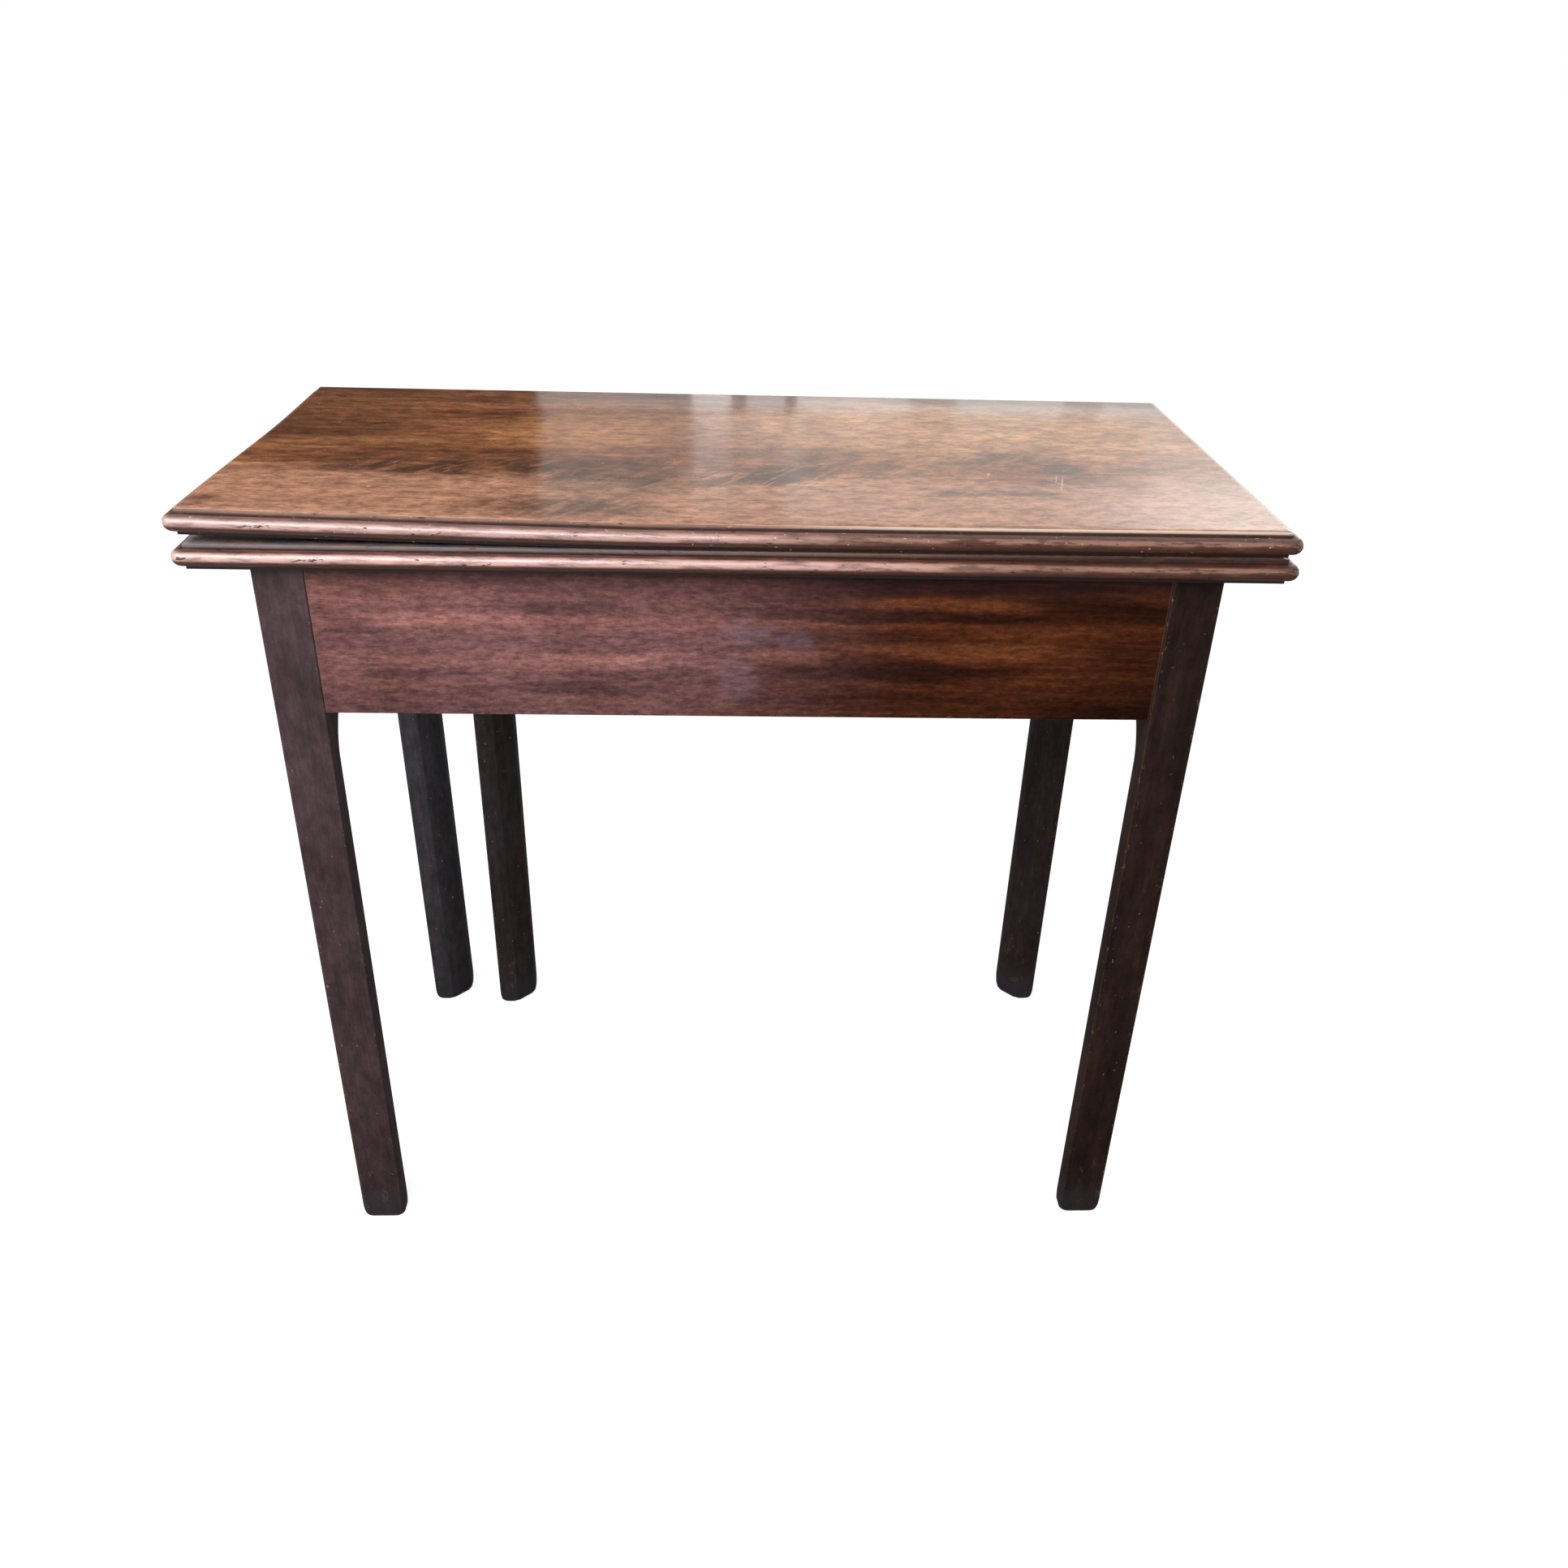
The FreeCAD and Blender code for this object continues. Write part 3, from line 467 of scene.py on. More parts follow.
def leaf_mahogany(name, folding):
    material, tree, surface = new_finish(name, specular=0.40)
    grain = own(tree, "grain")
    along, across, height = parts_of(grain)
    timber = use_group(grain_group, Grain=grain, Streak_Length=0.17, Streak_Width=0.022, Waver=0.045)
    colour = steps(timber["Streaks"], [
        (0.30, rgb(0.095, 0.029, 0.011)), (0.46, rgb(0.205, 0.069, 0.027)),
        (0.60, rgb(0.325, 0.124, 0.053)), (0.78, rgb(0.500, 0.222, 0.098))])
    # Golden patches, a painted lighter strip along the front for reflected light, and the broad places
    # towards the back
    golden = fade(noise(grain, (7, 13, 1), 3, 0.6, shift=(0.4, 0.2, 0)), 0.50, 0.68)
    colour = lay(colour, rgb(0.46, 0.178, 0.064), golden, 0.45)
    front = fade(shifted(across, golden, -0.02), -0.050, -0.105)
    colour = lay(colour, rgb(0.520, 0.266, 0.168), front, 0.62)
    drift = centred(grain, (9, 9, 1), 3)
    ragged = shifted(across, drift, 0.060)
    for edge, patch, share, wood in BROAD_PLACES:
        colour = lay(colour, wood, smear(along, ragged, edge, patch), share)
    if folding:
        colour = feathered(colour, grain, drift, ragged)
    # Fine fibres, mottle, larger blotches towards the back right, and open pores
    mottle = noise(grain, (60, 110, 110), 5, 0.72)
    blotches = fade(noise(grain, (26, 34, 1), 4, 0.6, shift=(0.7, 0.3, 0)), 0.30, 0.70, -0.22, 0.22)
    blotches = times(blotches, fade(along, -0.16, 0.12, 0.15, 1.0),
                     fade(across, -0.130, -0.050, 0.15, 1.0))
    shaded = smear(along, ragged, 0.0, (-0.100, -0.100, 0.080, 0.042))
    colour = shade(colour, times(
        fade(timber["Fibres"], 0.30, 0.72, 0.86, 1.10), fade(mottle, 0.28, 0.74, 0.54, 1.54),
        work_out("ADD", blotches, 1.0), fade(shaded, 0.0, 1.0, 1.0, 0.64)))
    colour = lay(colour, rgb(0.060, 0.022, 0.011), timber["Pores"], 0.4)
    if folding:
        line = smear(along, shifted(across, drift, 0.004), 0.2, (0.0, -0.129, 0.110, 0.0014))
        colour = lay(colour, rgb(0.100, 0.040, 0.024), line, 0.45)
    colour, inward, moulding, leftward, dull, bruises = moulded(colour, grain, mottle, folding)
    if folding:
        scratches = smear(shifted(along, across, -0.25), across, 0.1, *SCRATCHES)
        crossing = smear(shifted(along, across, 0.8), across, 0.1, (0.194, -0.076, 0.0010, 0.016))
        flecks = fade(noise(grain, (260, 420, 420), 1, 0.5), 0.735, 0.775)
        colour = lay(colour, rgb(0.70, 0.50, 0.38), most(scratches, crossing, flecks), 0.55)
    else:
        # Painted blue-grey reflection on the border in the gap, darkening to painted shade further in, in
        # patches
        gap_reflection_and_shade = lay(rgb(0.125, 0.146, 0.176), rgb(0.034, 0.076, 0.094), fade(inward, 0.0105, 0.0160))
        painted_gap_patches = work_out("ADD", bloom_of(grain, 0.04, 0.6), 0.55)
        colour = lay(colour, gap_reflection_and_shade, painted_gap_patches, fade(along, 0.12, -0.20), fade(inward, 0.0080, 0.0092),
                     fade(inward, 0.0300, 0.0160), fade(height, 0.0060, 0.0080))
    smoothness = fade(noise(grain, (9, 22, 22), 4, 0.6), 0.25, 0.75, 0.07, 0.13)
    smoothness = shifted(shifted(smoothness, dull, 0.4), moulding, 0.15)
    polished = times(moulding, work_out("SUBTRACT", 1.0, dull), fade(leftward, 0.0, 1.0, 0.30, 0.80))
    fill(surface, Base_Color=colour, Roughness=smoothness, Coat_Weight=polished, Coat_Roughness=0.36)
    relief(surface, shifted(shifted(timber["Fibres"], timber["Pores"], -0.6), bruises, -4.0), 0.00005)
    return material


upper_wood = leaf_mahogany("Figured mahogany of the folding leaf", True)
lower_wood = leaf_mahogany("Mahogany of the fixed leaf", False)
print("finishes:", upper_wood.name, "and", lower_wood.name)

# %% [markdown]
# The frieze is quarter-sawn, which shows as a ribbon stripe: dark and orange streaks some hundred
# millimetres long, with small flecks all over. A few streaks are listed one by one where the real board has
# them, and the rest comes from the grain group. A pale film grows towards the left, partly bloomed polish
# and partly painted light from the left, and the right end is painted darker. A painted shadow of the
# leaves lies along the top, and finger-wide smears cloud the middle.

# %% Frieze mahogany
RAIL_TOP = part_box("front_rail")[1].z
RAIL_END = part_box("front_right_leg")[0].x
DARK_STREAKS = (
    (0.090, 0.638, 0.190, 0.0090), (0.110, 0.592, 0.150, 0.0100), (-0.125, 0.641, 0.060, 0.010),
    (0.215, 0.660, 0.110, 0.006), (-0.130, 0.575, 0.085, 0.007), (-0.245, 0.588, 0.070, 0.006),
    (-0.080, 0.588, 0.075, 0.006), (-0.290, 0.622, 0.030, 0.006))
LIGHT_STREAKS = (
    (0.170, 0.610, 0.130, 0.0105), (0.150, 0.647, 0.090, 0.009), (-0.100, 0.602, 0.075, 0.007),
    (-0.235, 0.632, 0.060, 0.010), (0.030, 0.606, 0.060, 0.006))
SMUDGES = ((0.004, 0.624, 0.026, 0.017), (0.040, 0.615, 0.020, 0.014), (-0.007, 0.586, 0.022, 0.026))


def ribbon_mahogany(name, placed):
    """Wood of the frieze with its placed marks, or of a side rail without them."""
    material, tree, surface = new_finish(name, specular=0.08)
    grain = own(tree, "grain")
    along, _, height = parts_of(grain)
    timber = use_group(grain_group, Grain=grain, Streak_Length=0.30, Streak_Width=0.014, Waver=0.010)
    colour = steps(timber["Streaks"], [
        (0.32, rgb(0.022, 0.0050, 0.0022)), (0.47, rgb(0.045, 0.0105, 0.0034)),
        (0.60, rgb(0.074, 0.0185, 0.0054)), (0.76, rgb(0.110, 0.0310, 0.0095))])
    flecks = noise(grain, (70, 290, 290), 5, 0.72)
    factor = times(fade(flecks, 0.28, 0.74, 0.67, 1.40),
                   fade(noise(grain, (180, 330, 330), 2, 0.6), 0.30, 0.72, 0.78, 1.24),
                   fade(timber["Streaks"], 0.30, 0.72, 0.86, 1.16))
    leftward = 0.20
    if placed:
        wavy = shifted(height, centred(grain, (14, 40, 40), 3, 0.6), 0.014)
        dark = smear(along, wavy, 0.1, *DARK_STREAKS)
        light = smear(along, wavy, 0.1, *LIGHT_STREAKS)
        colour = lay(colour, rgb(0.022, 0.0058, 0.0042), dark, 0.72)
        colour = lay(colour, rgb(0.125, 0.0370, 0.0120), light, 0.62)
        # Placed streaks, painted shade over the right end, and a darker band towards the bottom
        factor = times(factor, fade(dark, 0.0, 1.0, 1.0, 0.68), fade(light, 0.0, 1.0, 1.0, 1.24),
                       fade(along, 0.20, 0.33, 1.0, 0.60),
                       fade(height, RAIL_TOP - 0.116, RAIL_TOP - 0.060, 0.72, 1.0))
        leftward = fade(along, 0.15, -0.10, 0.0, 0.72)
    # A pale film is laid on. On the frieze it grows towards the left, partly bloomed polish and partly
    # painted light from the left. It lies beneath the flecks of the figure, which stay bright through it
    bloom = shifted(times(bloom_of(grain, 0.10, leftward), 0.45), leftward, 0.60)
    colour = shade(lay(colour, rgb(0.234, 0.108, 0.107), bloom), factor)
    colour = lay(colour, rgb(0.020, 0.008, 0.006), timber["Pores"], 0.6)
    if placed:
        # Painted shadow of the leaves' overhang along the top of the frieze
        leaf_overhang_shadow = fade(height, RAIL_TOP - 0.028, RAIL_TOP - 0.004)
        colour = lay(colour, rgb(0.030, 0.014, 0.014), leaf_overhang_shadow, 0.45)
        joint = fade(work_out("ABSOLUTE", along), RAIL_END - 0.0022, RAIL_END - 0.0006)
        colour = lay(colour, rgb(0.150, 0.085, 0.055), joint, 0.3)
        wander = centred(grain, (60, 60, 60), 4, 0.65)
        smudge = smear(shifted(along, wander, 0.030), shifted(height, wander, -0.026), 0.0, *SMUDGES)
        colour = lay(colour, rgb(0.200, 0.165, 0.225), smudge, fade(flecks, 0.25, 0.70, 0.04, 0.22))
    worn = wear_of(tree, grain, 0.0009)
    colour = lay(colour, rgb(0.190, 0.085, 0.050), worn["Rub"], 0.28)
    colour = lay(colour, rgb(0.26, 0.16, 0.10), worn["Nicks"], 0.6)
    dull = fade(noise(grain, (16, 60, 60), 3), 0.25, 0.75, 0.30, 0.44)
    fill(surface, Base_Color=colour, Roughness=dull)
    relief(surface, shifted(flecks, timber["Pores"], -0.8), 0.00006)
    return material


frieze_wood = ribbon_mahogany("Ribbon mahogany of the frieze", True)
side_wood = ribbon_mahogany("Ribbon mahogany of the sides", False)
print("finishes:", frieze_wood.name, "and", side_wood.name)

# %% [markdown]
# The legs are the same timber beneath many coats of dark polish. Their grain shows faintly, their arrises
# carry pale nicks, the feet are scuffed, and painted shade darkens each foot near the floor. One leg has
# more pale film than another, partly cloudy bloom and partly painted light on the legs lit more from the
# left, so each mesh also carries a number for it, and one material serves all five.

# %% Leg mahogany


def leg_mahogany(name):
    material, tree, surface = new_finish(name, specular=0.10)
    grain = own(tree, "grain")
    rise = parts_of(grain)[0]
    timber = use_group(grain_group, Grain=grain, Streak_Length=0.12, Streak_Width=0.016, Waver=0.012)
    colour = steps(timber["Streaks"], [
        (0.30, rgb(0.0085, 0.0036, 0.0024)), (0.50, rgb(0.0165, 0.0070, 0.0044)),
        (0.75, rgb(0.0290, 0.0120, 0.0070))])
    # Each leg's pale film is partly cloudy bloom and partly painted light from the left, and grows higher up
    clouded, cool, _ = parts_of(own(tree, "polish"))
    film = lay(rgb(0.066, 0.040, 0.046), rgb(0.054, 0.056, 0.068), cool)
    colour = lay(colour, film, shifted(0.55, bloom_of(grain, 0.16, 1.0), 0.45), clouded)
    colour = shade(colour, times(fade(timber["Fibres"], 0.30, 0.72, 0.90, 1.08),
                                 fade(noise(grain, (60, 120, 120), 4, 0.7), 0.28, 0.74, 0.72, 1.30)))
    worn = wear_of(tree, grain, 0.0014)
    colour = lay(colour, rgb(0.085, 0.050, 0.034), worn["Rub"], 0.30)
    colour = lay(colour, rgb(0.26, 0.19, 0.13), worn["Nicks"], 0.32)
    chips = times(fade(noise(grain, (210, 330, 330), 1, 0.5), 0.765, 0.800),
                  fade(rise, 0.62, 0.10, 0.25, 1.0))
    colour = lay(colour, rgb(0.30, 0.22, 0.16), chips, 0.7)
    scuffs = fade(noise(grain, (55, 90, 90), 4, 0.7), 0.58, 0.70)
    colour = lay(colour, rgb(0.120, 0.085, 0.066), scuffs, fade(rise, 0.12, 0.0), 0.5)
    # Painted shade along the foot, near the floor
    colour = lay(colour, rgb(0.024, 0.024, 0.030), fade(rise, 0.05, 0.015), 0.45)
    dull = fade(noise(grain, (12, 45, 45), 3), 0.25, 0.75, 0.44, 0.60)
    fill(surface, Base_Color=colour, Roughness=dull)
    relief(surface, shifted(timber["Fibres"], most(worn["Nicks"], chips), -3.0), 0.00008)
    return material


leg_wood = leg_mahogany("Dark mahogany of the legs")
print("finish:", leg_wood.name)

# %% [markdown]
# Nobody was meant to see the back rails and the blocks, so they are cheap oak, planed but never polished.
# Dry oak is dull and grey-brown, with long open pores and a paler edge where hands and the gate have rubbed
# it.

# %% Plain oak of the hidden pieces


def bare_oak(name):
    material, tree, surface = new_finish(name, specular=0.2)
    grain = own(tree, "grain")
    timber = use_group(grain_group, Grain=grain, Streak_Length=0.40, Streak_Width=0.009, Waver=0.012)
    colour = steps(timber["Streaks"], [
        (0.28, rgb(0.105, 0.058, 0.030)), (0.50, rgb(0.190, 0.112, 0.060)),
        (0.75, rgb(0.280, 0.178, 0.102))])
    long_pores = fade(noise(grain, (40, 1100, 1100), 3, 0.6), 0.57, 0.70)
    colour = lay(colour, rgb(0.026, 0.015, 0.010), long_pores, 0.75)
    colour = lay(colour, rgb(0.075, 0.046, 0.030), bloom_of(grain, 0.11, 0.5))
    colour = lay(colour, rgb(0.24, 0.165, 0.105), wear_of(tree, grain, 0.0016)["Rub"], 0.45)
    fill(surface, Base_Color=colour, Roughness=fade(timber["Fibres"], 0.2, 0.8, 0.62, 0.82))
    relief(surface, shifted(timber["Fibres"], long_pores, -1.0), 0.00015)
    return material


oak = bare_oak("Bare oak of the back rails")
print("finish:", oak.name)

# %% [markdown]
# The hinges and their screws are brass, filed flat and gone brown. Bare brass shows on the rubbed high
# spots, and a brown film lies elsewhere. The wood screws and the wire pin of the gate are iron with old dry
# rust.

# %% Brass and iron


def aged_metal(name, clean, film, film_share, gloss, metal):
    material, tree, surface = new_finish(name)
    place = add(tree, "ShaderNodeTexCoord").outputs["Object"]
    blotches = noise(place, (170, 170, 170), 5, 0.65, 0.6)
    tarnish = fade(blotches, 0.62 - film_share * 0.4, 0.78 - film_share * 0.3)
    specks = fade(noise(place, (900, 900, 900), 2), 0.62, 0.72)
    covered = most(tarnish, times(specks, 0.7))
    fill(surface, Base_Color=lay(clean, film, covered),
         Roughness=fade(covered, 0.0, 1.0, gloss, gloss + 0.30),
         Metallic=fade(covered, 0.0, 1.0, metal, metal * 0.6))
    relief(surface, shifted(noise(place, (1800, 140, 1800), 2), specks, -1.0), 0.00004)
    return material


brass = aged_metal("Browned brass", rgb(0.60, 0.40, 0.17), rgb(0.155, 0.092, 0.040), 0.55, 0.26, 1.0)
iron = aged_metal("Rusted iron", rgb(0.115, 0.105, 0.10), rgb(0.085, 0.042, 0.024), 0.50, 0.45, 0.85)
print("finishes:", brass.name, "and", iron.name)

# %% [markdown]
# Baize is a woollen cloth with a short raised nap, glued into a shallow bed on each playing face. Light
# catches the nap at low angles, which the sheen of the Principled surface gives, and the fibres lie in
# small tufts.

# %% Baize


def green_baize(name):
    material, tree, surface = new_finish(name, specular=0.1)
    place = add(tree, "ShaderNodeTexCoord").outputs["Object"]
    tufts = noise(place, (900, 900, 900), 3, 0.7)
    colour = steps(tufts, [
        (0.28, rgb(0.012, 0.045, 0.040)), (0.52, rgb(0.024, 0.086, 0.074)),
        (0.78, rgb(0.048, 0.140, 0.118))])
    faded = fade(noise(place, (7, 9, 1), 4, 0.6), 0.42, 0.75, 0.0, 0.35)
    colour = lay(colour, rgb(0.085, 0.135, 0.105), faded)
    lint = fade(noise(place, (260, 330, 260), 2), 0.70, 0.76)
    colour = lay(colour, rgb(0.22, 0.26, 0.22), lint, 0.4)
    fill(surface, Base_Color=colour, Roughness=fade(tufts, 0.2, 0.8, 0.82, 0.97), Sheen_Weight=0.5,
         Sheen_Roughness=0.45, Sheen_Tint=rgb(0.45, 0.62, 0.58))
    relief(surface, tufts, 0.0004)
    return material


baize = green_baize("Blue-green baize")
print("finish:", baize.name)

# %% [markdown]
# Now the pieces. The measured model comes as loose triangles with sharp corners, and nothing made of wood
# is that sharp. A welded copy gets its flat faces joined again, its long corners rounded a little, and
# three vectors on every point: where it lies along the grain, where it lies from the middle of its board,
# and the board's half size.

# %% Helpers for the wooden pieces
# Which axes of the table become the first (along the fibres), second and third part of the grain
FIBRES = {"x": (0, 1, 2), "y": (1, 0, 2), "z": (2, 0, 1)}
WELD, FLAT, SHARP = 2e-6, math.radians(0.4), math.radians(40)


def welded_copy(node):
    """The CAD mesh as one closed skin with its flat faces joined."""
    skin = bmesh.new()
    skin.from_mesh(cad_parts[node].data)
    bmesh.ops.remove_doubles(skin, verts=skin.verts, dist=WELD)
    bmesh.ops.dissolve_limit(skin, angle_limit=FLAT, verts=skin.verts, edges=skin.edges)
    return skin


def long_corners(skin, shortest, sharp=SHARP):
    """The convex corners that are at least as long as shortest."""
    return [e for e in skin.edges
            if e.is_manifold and e.is_convex and e.calc_length() >= shortest and e.calc_face_angle() > sharp]


def ease(skin, corners, radius, segments=2):
    """Round some corners."""
    bmesh.ops.bevel(skin, geom=corners, offset=radius, segments=segments, profile=0.5, affect="EDGES",
                    clamp_overlap=True)


def lay_grain(skin, fibres, low, high, shift=(0, 0, 0)):
    """Give every point its place along the grain and from the middle of its board."""
    grain, from_middle, half_size = (
        skin.verts.layers.float_vector.new(name) for name in ("grain", "from_middle", "half_size"))
    low, high, order = Vector(low), Vector(high), FIBRES[fibres]
    for vert in skin.verts:
        vert[grain] = Vector([vert.co[i] for i in order]) + Vector(shift)
        vert[from_middle] = vert.co - (low + high) / 2
        vert[half_size] = (high - low) / 2


def settle(name, mesh, body, nodes):
    """Make an object of a mesh. It rides on a body and stands for its CAD nodes."""
    piece = bpy.data.objects.new(name, mesh)
    scene.collection.objects.link(piece)
    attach(piece, body)
    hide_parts(*nodes)
    return piece


def into_piece(name, skin, body, nodes, material, angle=35):
    """Turn a finished skin into a smooth-shaded piece whose corners above an angle stay sharp."""
    mesh = bpy.data.meshes.new(name)
    skin.to_mesh(mesh)
    skin.free()
    mesh.materials.append(material)
    mesh.polygons.foreach_set("use_smooth", [True] * len(mesh.polygons))
    mesh.set_sharp_from_angle(angle=math.radians(angle))
    return settle(name, mesh, body, nodes)


print("piece helpers are ready")

# %% [markdown]
# The folding leaf has warped. Its front left corner stands about six millimetres off the fixed leaf, and
# its rear edge is held down by the hinges. A board can't bend if it has no points to bend at, so the welded
# copy is sliced every few centimetres both ways before each point is lifted by a smooth rule. The fixed
# leaf lies flat.

# %% The two leaves
LIFT_LEFT, LIFT_RIGHT, SIDEWAYS = 0.0062, 0.0006, -0.0012
LEFT_FROM, RIGHT_FROM, FRONT_FROM, LIFT_BEND = 0.06, 0.10, 0.120, 1.15
SLICE_LEFT, SLICE_WIDE, SLICE_FRONT, SLICE_DEEP = -0.40, 0.02, -0.178, 0.025
RIM_ROUND, RIM_WIDTH, RIM_SHORTEST, RIM_SHARP = 0.0009, 0.01, 0.1, math.radians(60)


def soft_step(value, low, high):
    share = min(max((value - low) / (high - low), 0.0), 1.0)
    return share * share * (3 - 2 * share)


def warp(x, y):
    """How the folding leaf has moved at a point: aside at the front, and up towards its front corners."""
    left = min(max((-LEFT_FROM - x) / (HALF_WIDTH - LEFT_FROM), 0.0), 1.0)
    right = soft_step(x, RIGHT_FROM, HALF_WIDTH)
    front = soft_step(-y, -FRONT_FROM, -NOSE_FRONT)
    return Vector((SIDEWAYS * front, 0, (LIFT_LEFT * left ** LIFT_BEND + LIFT_RIGHT * right) * front))


def slice_across(skin, axis, places):
    way = Vector([1.0 if i == axis else 0.0 for i in range(3)])
    for place in places:
        geom = skin.verts[:] + skin.edges[:] + skin.faces[:]
        bmesh.ops.bisect_plane(skin, geom=geom, dist=1e-6, plane_co=way * place, plane_no=way)


def leaf_skin(node):
    """A leaf with its outer rims eased, above and below, and its box."""
    low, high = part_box(node)
    skin = welded_copy(node)
    rim = [e for e in long_corners(skin, RIM_SHORTEST, RIM_SHARP)
           if all(v.co.z > high.z - 1e-5 or v.co.z < low.z + 1e-5 for v in e.verts)
           and all(abs(v.co.x) > HALF_WIDTH - RIM_WIDTH or v.co.y < NOSE_FRONT + RIM_WIDTH for v in e.verts)]
    ease(skin, rim, RIM_ROUND, 3)
    return skin, low, high


skin, low, high = leaf_skin("lower_leaf")
lay_grain(skin, "x", low, high, (0, 0, -(low.z + high.z) / 2))
lower_leaf = into_piece("fixed_leaf", skin, "frame", ["lower_leaf"], lower_wood)

skin, low, high = leaf_skin("upper_leaf")
slice_across(skin, 0, [SLICE_LEFT + SLICE_WIDE * i for i in range(41)])
slice_across(skin, 1, [SLICE_FRONT + SLICE_DEEP * i for i in range(13)])
lay_grain(skin, "x", low, high, (0, 0, -(low.z + high.z) / 2))
for vert in skin.verts:
    vert.co += warp(vert.co.x, vert.co.y)
upper_leaf = into_piece("folding_leaf", skin, "upper_leaf", ["upper_leaf"], upper_wood)
print("leaves:", len(lower_leaf.data.polygons), "and", len(upper_leaf.data.polygons), "faces")

# %% [markdown]
# A leg is a square post with one inner corner cut off and the cut run out in a hollow below the rail. It is
# lofted: one outline is drawn at each of many heights, its corner cut as deep as the height asks, and
# neighbouring outlines are joined. Near the floor the outlines draw in, which rounds the foot. Three legs
# lean a little with age.

# %% The legs
CLOUDED_LOW, CLOUDED_MORE = 0.55, 0.45
CHAMFER, CHAMFER_TOP, CHAMFER_LOW, FULL_CUT = 0.018, 0.544, 0.502, 0.003
FOOT_ROUND, ARRIS, FOOT_ARRIS, WORN_HEIGHT = 0.003, 0.0013, 0.0075, 0.016
RAIL_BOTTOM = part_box("front_rail")[0].z
FOOT_RINGS = [FOOT_ROUND * (1 - math.cos(math.radians(15 * i))) for i in range(7)]
FOOT_RINGS += [0.0055, 0.009, 0.0125, WORN_HEIGHT]
POST_RINGS = [0.06 + 0.044 * i for i in range(10)] + [CHAMFER_LOW + 0.0035 * i for i in range(13)]


def chamfer_at(z):
    """How much of the inner corner is cut off at a height: all of it low down, none above the run-out."""
    run = CHAMFER_TOP - CHAMFER_LOW
    hollow = (CHAMFER ** 2 / 2 + run ** 2) / (math.sqrt(2) * CHAMFER)
    if z <= CHAMFER_LOW:
        return CHAMFER
    rise = min(z - CHAMFER_LOW, run)
    return max(CHAMFER - (hollow - math.sqrt(hollow ** 2 - rise ** 2)) * math.sqrt(2), 0.0)


def arris_at(z):
    """The round of a corner at a height: small, and growing where the foot is worn."""
    return ARRIS + FOOT_ARRIS * max(1 - z / WORN_HEIGHT, 0.0) ** 2


def corner_points(at, way_in, way_out, cut, arris):
    """Six points round a corner: a small round, or a cut-off with two small rounds."""
    points = []
    share = min(cut / FULL_CUT, 1.0)
    for i in range(6):
        turn = math.radians(18 * i)
        rounded = at - way_in * arris * (1 - math.sin(turn)) + way_out * arris * (1 - math.cos(turn))
        end, step = (-way_in, i) if i < 3 else (way_out, 5 - i)
        slope = (way_in + way_out) if i < 3 else -(way_in + way_out)
        edge = at + end * cut
        flat = edge + (end * (1 - step / 2) + slope / math.sqrt(2) * step / 2) * arris * 0.5
        points.append(rounded.lerp(flat, share))
    return points


def leg_outline(low, high, inner, cut, inset, arris):
    corners = [(low.x, low.y), (high.x, low.y), (high.x, high.y), (low.x, high.y)]
    ways = [Vector((0, -1)), Vector((1, 0)), Vector((0, 1)), Vector((-1, 0))]
    signs = [(-1, -1), (1, -1), (1, 1), (-1, 1)]
    points = []
    for i, (corner, sign) in enumerate(zip(corners, signs)):
        at = Vector(corner) - Vector(sign) * inset
        way_in, way_out = ways[i], ways[(i + 1) % 4]
        points += corner_points(at, way_in, way_out, cut if sign == inner else 0.0, arris)
    return points


def leg_piece(node, body, inner, clouded, cool, shift, lean=0.0, notch=None):
    """Loft a leg. Above a notch, given by its height and its y, the front steps back for a rail."""
    low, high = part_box(node)
    below = FOOT_RINGS + POST_RINGS
    heights = below + ([notch[0], notch[0]] if notch else []) + [high.z - 0.001, high.z]
    skin = bmesh.new()
    rings = []
    for count, z in enumerate(heights):
        draw_in = FOOT_ROUND - math.sqrt(max(FOOT_ROUND ** 2 - (FOOT_ROUND - min(z, FOOT_ROUND)) ** 2, 0.0))
        base = low.copy()
        if notch and count > len(below):
            base.y = notch[1]
        outline = leg_outline(base, high, inner, chamfer_at(z), draw_in, arris_at(z))
        aside = lean * max(1 - z / RAIL_BOTTOM, 0.0)
        rings.append([skin.verts.new((p.x + aside, p.y, z)) for p in outline])
    for lower, upper in zip(rings, rings[1:]):
        for i in range(len(lower)):
            j = (i + 1) % len(lower)
            skin.faces.new((lower[i], lower[j], upper[j], upper[i]))
    skin.faces.new(rings[0][::-1])
    skin.faces.new(rings[-1])
    bmesh.ops.remove_doubles(skin, verts=skin.verts, dist=1e-7)
    bmesh.ops.recalc_face_normals(skin, faces=skin.faces)
    lay_grain(skin, "z", low, high, shift)
    polish = skin.verts.layers.float_vector.new("polish")
    for vert in skin.verts:
        vert[polish] = (clouded * (CLOUDED_LOW + CLOUDED_MORE * vert.co.z / high.z), cool, 0)
    return into_piece(node.replace("_leg", "_post"), skin, body, [node], leg_wood, 30)


